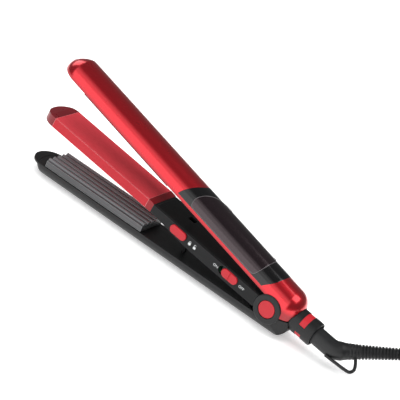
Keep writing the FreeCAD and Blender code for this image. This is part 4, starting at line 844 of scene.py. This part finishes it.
def printed(name, text, cx, cz, size):
    cu = bpy.data.curves.new(name, "FONT")
    cu.body = text
    cu.size = 1.0
    cu.resolution_u = 4
    cu.extrude = 0.01
    cu.align_x, cu.align_y = "CENTER", "CENTER"
    cu.offset = 0.0
    ob = bpy.data.objects.new(name + "_curve", cu)
    coll.objects.link(ob)
    bpy.context.view_layer.update()
    deps = bpy.context.evaluated_depsgraph_get()
    me = bpy.data.meshes.new_from_object(ob.evaluated_get(deps))
    xs = [v.co.x for v in me.vertices]
    ys = [v.co.y for v in me.vertices]
    mx, my = (min(xs) + max(xs)) / 2, (min(ys) + max(ys)) / 2
    for v in me.vertices:
        q = on_face(cx + (v.co.x - mx) * size, cz + (v.co.y - my) * size, 0.005 + 0.045 * (1 if v.co.z > 0 else 0))
        v.co = q
    bpy.data.objects.remove(ob)
    bpy.data.curves.remove(cu)
    me.name = name
    ob = bpy.data.objects.new(name, me)
    coll.objects.link(ob)
    return ob


def flat_mark(name, outlines):
    verts, faces = [], []
    for pts in outlines:
        k = len(pts) // 2
        # pts: two equally long edges of a ribbon, first one then the other
        base = len(verts)
        for off in (0.005, 0.05):
            verts += [on_face(x, z, off) for x, z in pts]
        n = 2 * k
        for off in (0, n):
            for j in range(k - 1):
                f_ = (base + off + j, base + off + j + 1, base + off + k + j + 1, base + off + k + j)
                faces.append(f_ if off else tuple(reversed(f_)))
        for j in range(k - 1):
            faces.append((base + j, base + j + 1, base + n + j + 1, base + n + j))
            faces.append((base + k + j + 1, base + k + j, base + n + k + j, base + n + k + j + 1))
        faces.append((base, base + n, base + n + k, base + k))
        faces.append((base + k - 1, base + 2 * k - 1, base + n + 2 * k - 1, base + n + k - 1))
    return new_mesh(name, verts, faces, smooth=False, weld=False)


def padlock(cx, cz, opened):
    w, hgt = 1.15, 1.0
    body = []
    n = 9
    left, right_ = [], []
    for i in range(n):
        t = -1 + 2 * i / (n - 1)
        cut = 0.18 * (abs(t) ** 6)
        left.append((cx - w + cut, cz - 0.75 + hgt * t))
        right_.append((cx + w - cut, cz - 0.75 + hgt * t))
    body = left + right_
    ro, ri = 0.95, 0.55
    sh_o, sh_i = [], []
    lift_ = 0.45 if opened else 0.0
    a0, a1 = (0, 180) if not opened else (35, 180)
    sh_o.append((cx - ro, cz + 0.15)), sh_i.append((cx - ri, cz + 0.15))
    for i in range(13):
        t = math.radians(a1 + (a0 - a1) * i / 12)
        sh_o.append((cx + ro * math.cos(t), cz + 0.55 + lift_ + ro * math.sin(t)))
        sh_i.append((cx + ri * math.cos(t), cz + 0.55 + lift_ + ri * math.sin(t)))
    if not opened:
        sh_o.append((cx + ro, cz + 0.15)), sh_i.append((cx + ri, cz + 0.15))
    return [body, sh_o + sh_i]


on_mark = printed("mark_on", "ON", -51.75, -0.97, 2.95)
finish_piece(on_mark, "ink", "middle_arm")
off_mark = printed("mark_off", "OFF", -25.63, -1.0, 2.95)
finish_piece(off_mark, "ink", "middle_arm")
locks = flat_mark("mark_locks", padlock(-78.4, -1.0, False) + padlock(-73.4, -1.0, True))
finish_piece(locks, "ink", "middle_arm")

# ---------------------------------------------------------------- strain relief: sleeve, bend, ribbed taper, hanging loop
tm = math.radians(OPEN_MID)
AX = Vector((math.cos(tm), 0, -math.sin(tm)))
C0 = Vector((37.7 * math.cos(tm) + 1.3 * math.sin(tm), 0, -37.7 * math.sin(tm) + 1.3 * math.cos(tm))) + Vector((XS, 0, HZ))
PB = C0 + AX * 17.75
D = Vector((0.7739, 0.5776, 0.2688)).normalized()
OUT = AX.cross(D).normalized().cross(D)
if OUT.dot(AX) < 0:
    OUT = -OUT
TURN = math.acos(AX.dot(D))
SET, SLEEVE_R, PITCH = 5.0, 7.15, 2.46
RIB_R = [(5.0, 7.15), (8.0, 6.45), (12.0, 6.15), (18.0, 5.75), (24.0, 5.5), (30.0, 5.25), (36.0, 5.03), (42.0, 4.85), (50.0, 4.58), (58.0, 4.3)]
RB = SET / math.tan(TURN / 2)
inward = (D - AX * AX.dot(D)).normalized()
bend_c = PB - AX * SET + inward * RB
pts, rad = [], []
start = C0 - AX * 2.35
straight_len = (PB - AX * SET - start).length
for i in range(19):
    pts.append(start + AX * (straight_len * i / 18))
    rad.append(SLEEVE_R - (0.25 if i == 0 else 0.0))
for i in range(1, 17):
    t = TURN * i / 16
    pts.append(bend_c - inward * RB * math.cos(t) + AX * RB * math.sin(t))
    rad.append(SLEEVE_R)
s = SET
GROOVE0 = 17.15 - 3 * PITCH


def groove_depth(s):
    k = round((s - GROOVE0 - 0.6) / PITCH)
    if k < 0:
        return 0.0
    c = GROOVE0 + 0.6 + k * PITCH
    if c > 56.6:
        return 0.0
    deep = 0.22 if c < 14.5 else (0.5 if c < 18.5 else 1.15)
    w = 0.74
    d = abs(s - c) / w
    return deep * (1 - ease(d, 0.45, 1.0)) if d < 1 else 0.0


while s < 58.0 - 1e-6:
    s += 0.1
    s = min(s, 58.0)
    pts.append(PB + D * s)
    rad.append(interp(s, RIB_R) - groove_depth(s) - (0.5 * ease(s, 57.4, 58.0)))
verts, faces = sweep([p * MM for p in pts], [q * MM for q in rad], 56)
loop_ctrl = [(-7.0, 3.8), (7.4, 15.9), (11.4, 17.5), (15.5, 13.6), (15.5, 4.2)]
loop_pts = spline_points("loop", [(PB + D * u_ + OUT * v_) * MM for u_, v_ in loop_ctrl], 14)
lv, lf = sweep(loop_pts, 0.00128, 20)
off = len(verts)
verts += lv
faces += [tuple(i + off for i in f_) for f_ in lf]
relief = new_mesh("strain_relief_sleeve", verts, faces, smooth=True, weld=False, flat_angle=50)
finish_piece(relief, "black_rubber", "cord_swivel", ["strain_relief"])

# ---------------------------------------------------------------- plug beyond the hank
HEAD = Vector((0.809, -0.5878, 0))
SIDE = Vector((0.5878, 0.809, 0))
PLUG_AT = Vector((370.3, 38.4, 7.0))


def plug_mesh(name):
    stations = []
    for i in range(13):
        x = 12.0 * i / 12
        g = 0.35 * (0.5 - 0.5 * math.cos(2 * math.pi * x / 2.4)) if 1.5 < x < 10.6 else 0.0
        rr = 4.0 + 1.6 * x / 12 - g
        stations.append((x, rr, rr, 2.0))
    for x, w, hh, ex in ((13.0, 7.2, 5.6, 2.2), (14.5, 9.6, 5.8, 2.5), (16.5, 12.2, 6.0, 2.9), (19.0, 14.9, 6.15, 3.4), (22.0, 16.8, 6.3, 4.0), (25.0, 17.35, 6.4, 4.4)):
        stations.append((x, w, hh, ex))
    for i in range(1, 33):
        x = 25.0 + 19.0 * i / 32
        g = 0.35 * (0.5 - 0.5 * math.cos(2 * math.pi * (x - 27.0) / 2.6)) if 27.0 < x < 42.6 else 0.0
        stations.append((x, 17.4 - g, 6.45, 4.6))
    for i in range(1, 8):
        t = math.radians(90 * i / 7)
        stations.append((45.0 + 2.0 * math.sin(t) - 0.02, 17.4 - 2.0 * (1 - math.cos(t)), 6.45 - 1.6 * (1 - math.cos(t)), 4.6))
    n = 72
    rows = []
    for x, w, hh, ex in stations:
        row = []
        for k in range(n):
            t = 2 * math.pi * k / n
            c, s_ = math.cos(t), math.sin(t)
            y = w * math.copysign(abs(c) ** (2 / ex), c)
            z = hh * math.copysign(abs(s_) ** (2 / ex), s_)
            row.append(PLUG_AT + HEAD * x + SIDE * y + Vector((0, 0, z)))
        rows.append(row)
    verts = [p * MM for row in rows for p in row]
    faces = strip(rows, closed_cols=True)
    faces.append(tuple(reversed(range(n))))
    last = (len(rows) - 1) * n
    faces.append(tuple(last + k for k in range(n)))
    return new_mesh(name, verts, faces, smooth=True, flat_angle=45)


plug = plug_mesh("plug_body_moulded")
finish_piece(plug, "black_rubber", "middle_arm", ["plug_body"])


# ---------------------------------------------------------------- tie round one run of the hank
def tie_mesh(name):
    ur = Vector((0, 1, 0))
    ut = Vector((1, 0, 0))
    y0 = HANK_Y / MM
    r0, r1, z0, z1, rc = y0 - 34.7 - 0.55, y0 - 15.7 + 0.55, 0.36, 12.95, 2.6
    path = []
    for cx, cz, a0 in ((r1 - rc, z1 - rc, 0), (r0 + rc, z1 - rc, 90), (r0 + rc, z0 + rc, 180), (r1 - rc, z0 + rc, 270)):
        for i in range(9):
            t = math.radians(a0 + 90 * i / 8)
            path.append((cx + rc * math.cos(t), cz + rc * math.sin(t), math.cos(t), math.sin(t)))
    fine = []
    k = len(path)
    for i in range(k):
        p, q = path[i], path[(i + 1) % k]
        steps = 1 if i % 9 != 8 else 10
        for j in range(steps):
            w = j / steps
            fine.append(tuple(p[c] + (q[c] - p[c]) * w for c in range(4)))
    sect = []
    hw, ht = 5.9, 0.32
    for i in range(5):
        t = math.radians(-90 + 180 * i / 4)
        sect.append((hw - ht + ht * math.cos(t), ht * math.sin(t)))
    for i in range(5):
        t = math.radians(90 + 180 * i / 4)
        sect.append((-(hw - ht) + ht * math.cos(t), ht * math.sin(t)))
    rows = []
    for cx, cz, nx_, nz_ in fine:
        rows.append([(Vector((291.0, 0, 0)) + ur * (cx + nx_ * v) + ut * u_ + Vector((0, 0, cz + nz_ * v))) * MM for u_, v in sect])
    verts = [p for row in rows for p in row]
    return new_mesh(name, verts, strip(rows, closed_rows=True, closed_cols=True), smooth=True, flat_angle=60)


tie = tie_mesh("hank_tie_strap")
finish_piece(tie, "black_tie", "middle_arm", ["coil_tie"])

# the cord runs, with its bends, from the swivel to the arm that carries the hank; it stays in the frame, on no body
cord.data.materials.append(M["black_rubber"])
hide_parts("cord_tube", "cord_coil", "cord_plug_lead")
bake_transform(cord)

# ---------------------------------------------------------------- floor, light
floor_mesh = bpy.data.meshes.new("floor")
floor_mesh.from_pydata([(-6, -6, -0.0003), (6, -6, -0.0003), (6, 6, -0.0003), (-6, 6, -0.0003)], [], [(0, 1, 2, 3)])
floor = bpy.data.objects.new("floor", floor_mesh)
coll.objects.link(floor)
fm = bpy.data.materials.new("floor_paper")
fm.use_nodes = True
fp = fm.node_tree.nodes["Principled BSDF"]
fp.inputs["Base Color"].default_value = (0.9, 0.9, 0.9, 1)
fp.inputs["Roughness"].default_value = 0.9
fp.inputs["Specular IOR Level"].default_value = 0.1
fp.inputs["Emission Color"].default_value = (1, 1, 1, 1)
fp.inputs["Emission Strength"].default_value = 0.42
floor.data.materials.append(fm)

world = bpy.data.worlds.new("world")
scene.world = world
world.use_nodes = True
world.node_tree.nodes["Background"].inputs[0].default_value = (1, 1, 1, 1)
world.node_tree.nodes["Background"].inputs[1].default_value = 0.16


def panel(name, direction, dist, width, height, power, glossy=True, target=(0.0, 0.0, 0.04), color=(1, 1, 1)):
    d = Vector(direction).normalized()
    li = bpy.data.lights.new(name, "AREA")
    li.shape = "RECTANGLE"
    li.size, li.size_y = width, height
    li.energy = power
    li.color = color
    ob = bpy.data.objects.new(name, li)
    ob.location = Vector(target) + d * dist
    ob.rotation_euler = d.to_track_quat("Z", "Y").to_euler()
    coll.objects.link(ob)
    ob.visible_glossy = glossy
    return ob


def from_front(elevation):
    t = math.radians(elevation)
    return (-0.10, -math.cos(t), math.sin(t))


panel("softbox_low", from_front(18), 1.6, 2.4, 1.16, 12.6)
panel("softbox_mid", from_front(47), 1.6, 2.4, 0.56, 3.6)
panel("softbox_high", from_front(62), 1.6, 2.4, 0.36, 1.2)
panel("card_left", (-0.80, 0.27, 0.54), 1.5, 0.8, 0.8, 3.8)
panel("card_rear_high", (0.50, 0.20, 0.84), 1.5, 0.95, 0.95, 6.5)
panel("overhead_fill", (0.0, -0.1, 1.0), 2.2, 3.0, 3.0, 56.0, glossy=False)
scene.view_settings.view_transform = "Standard"
scene.view_settings.look = "None"
scene.view_settings.exposure = 0.0
scene.view_settings.gamma = 1.0

bpy.context.view_layer.update()
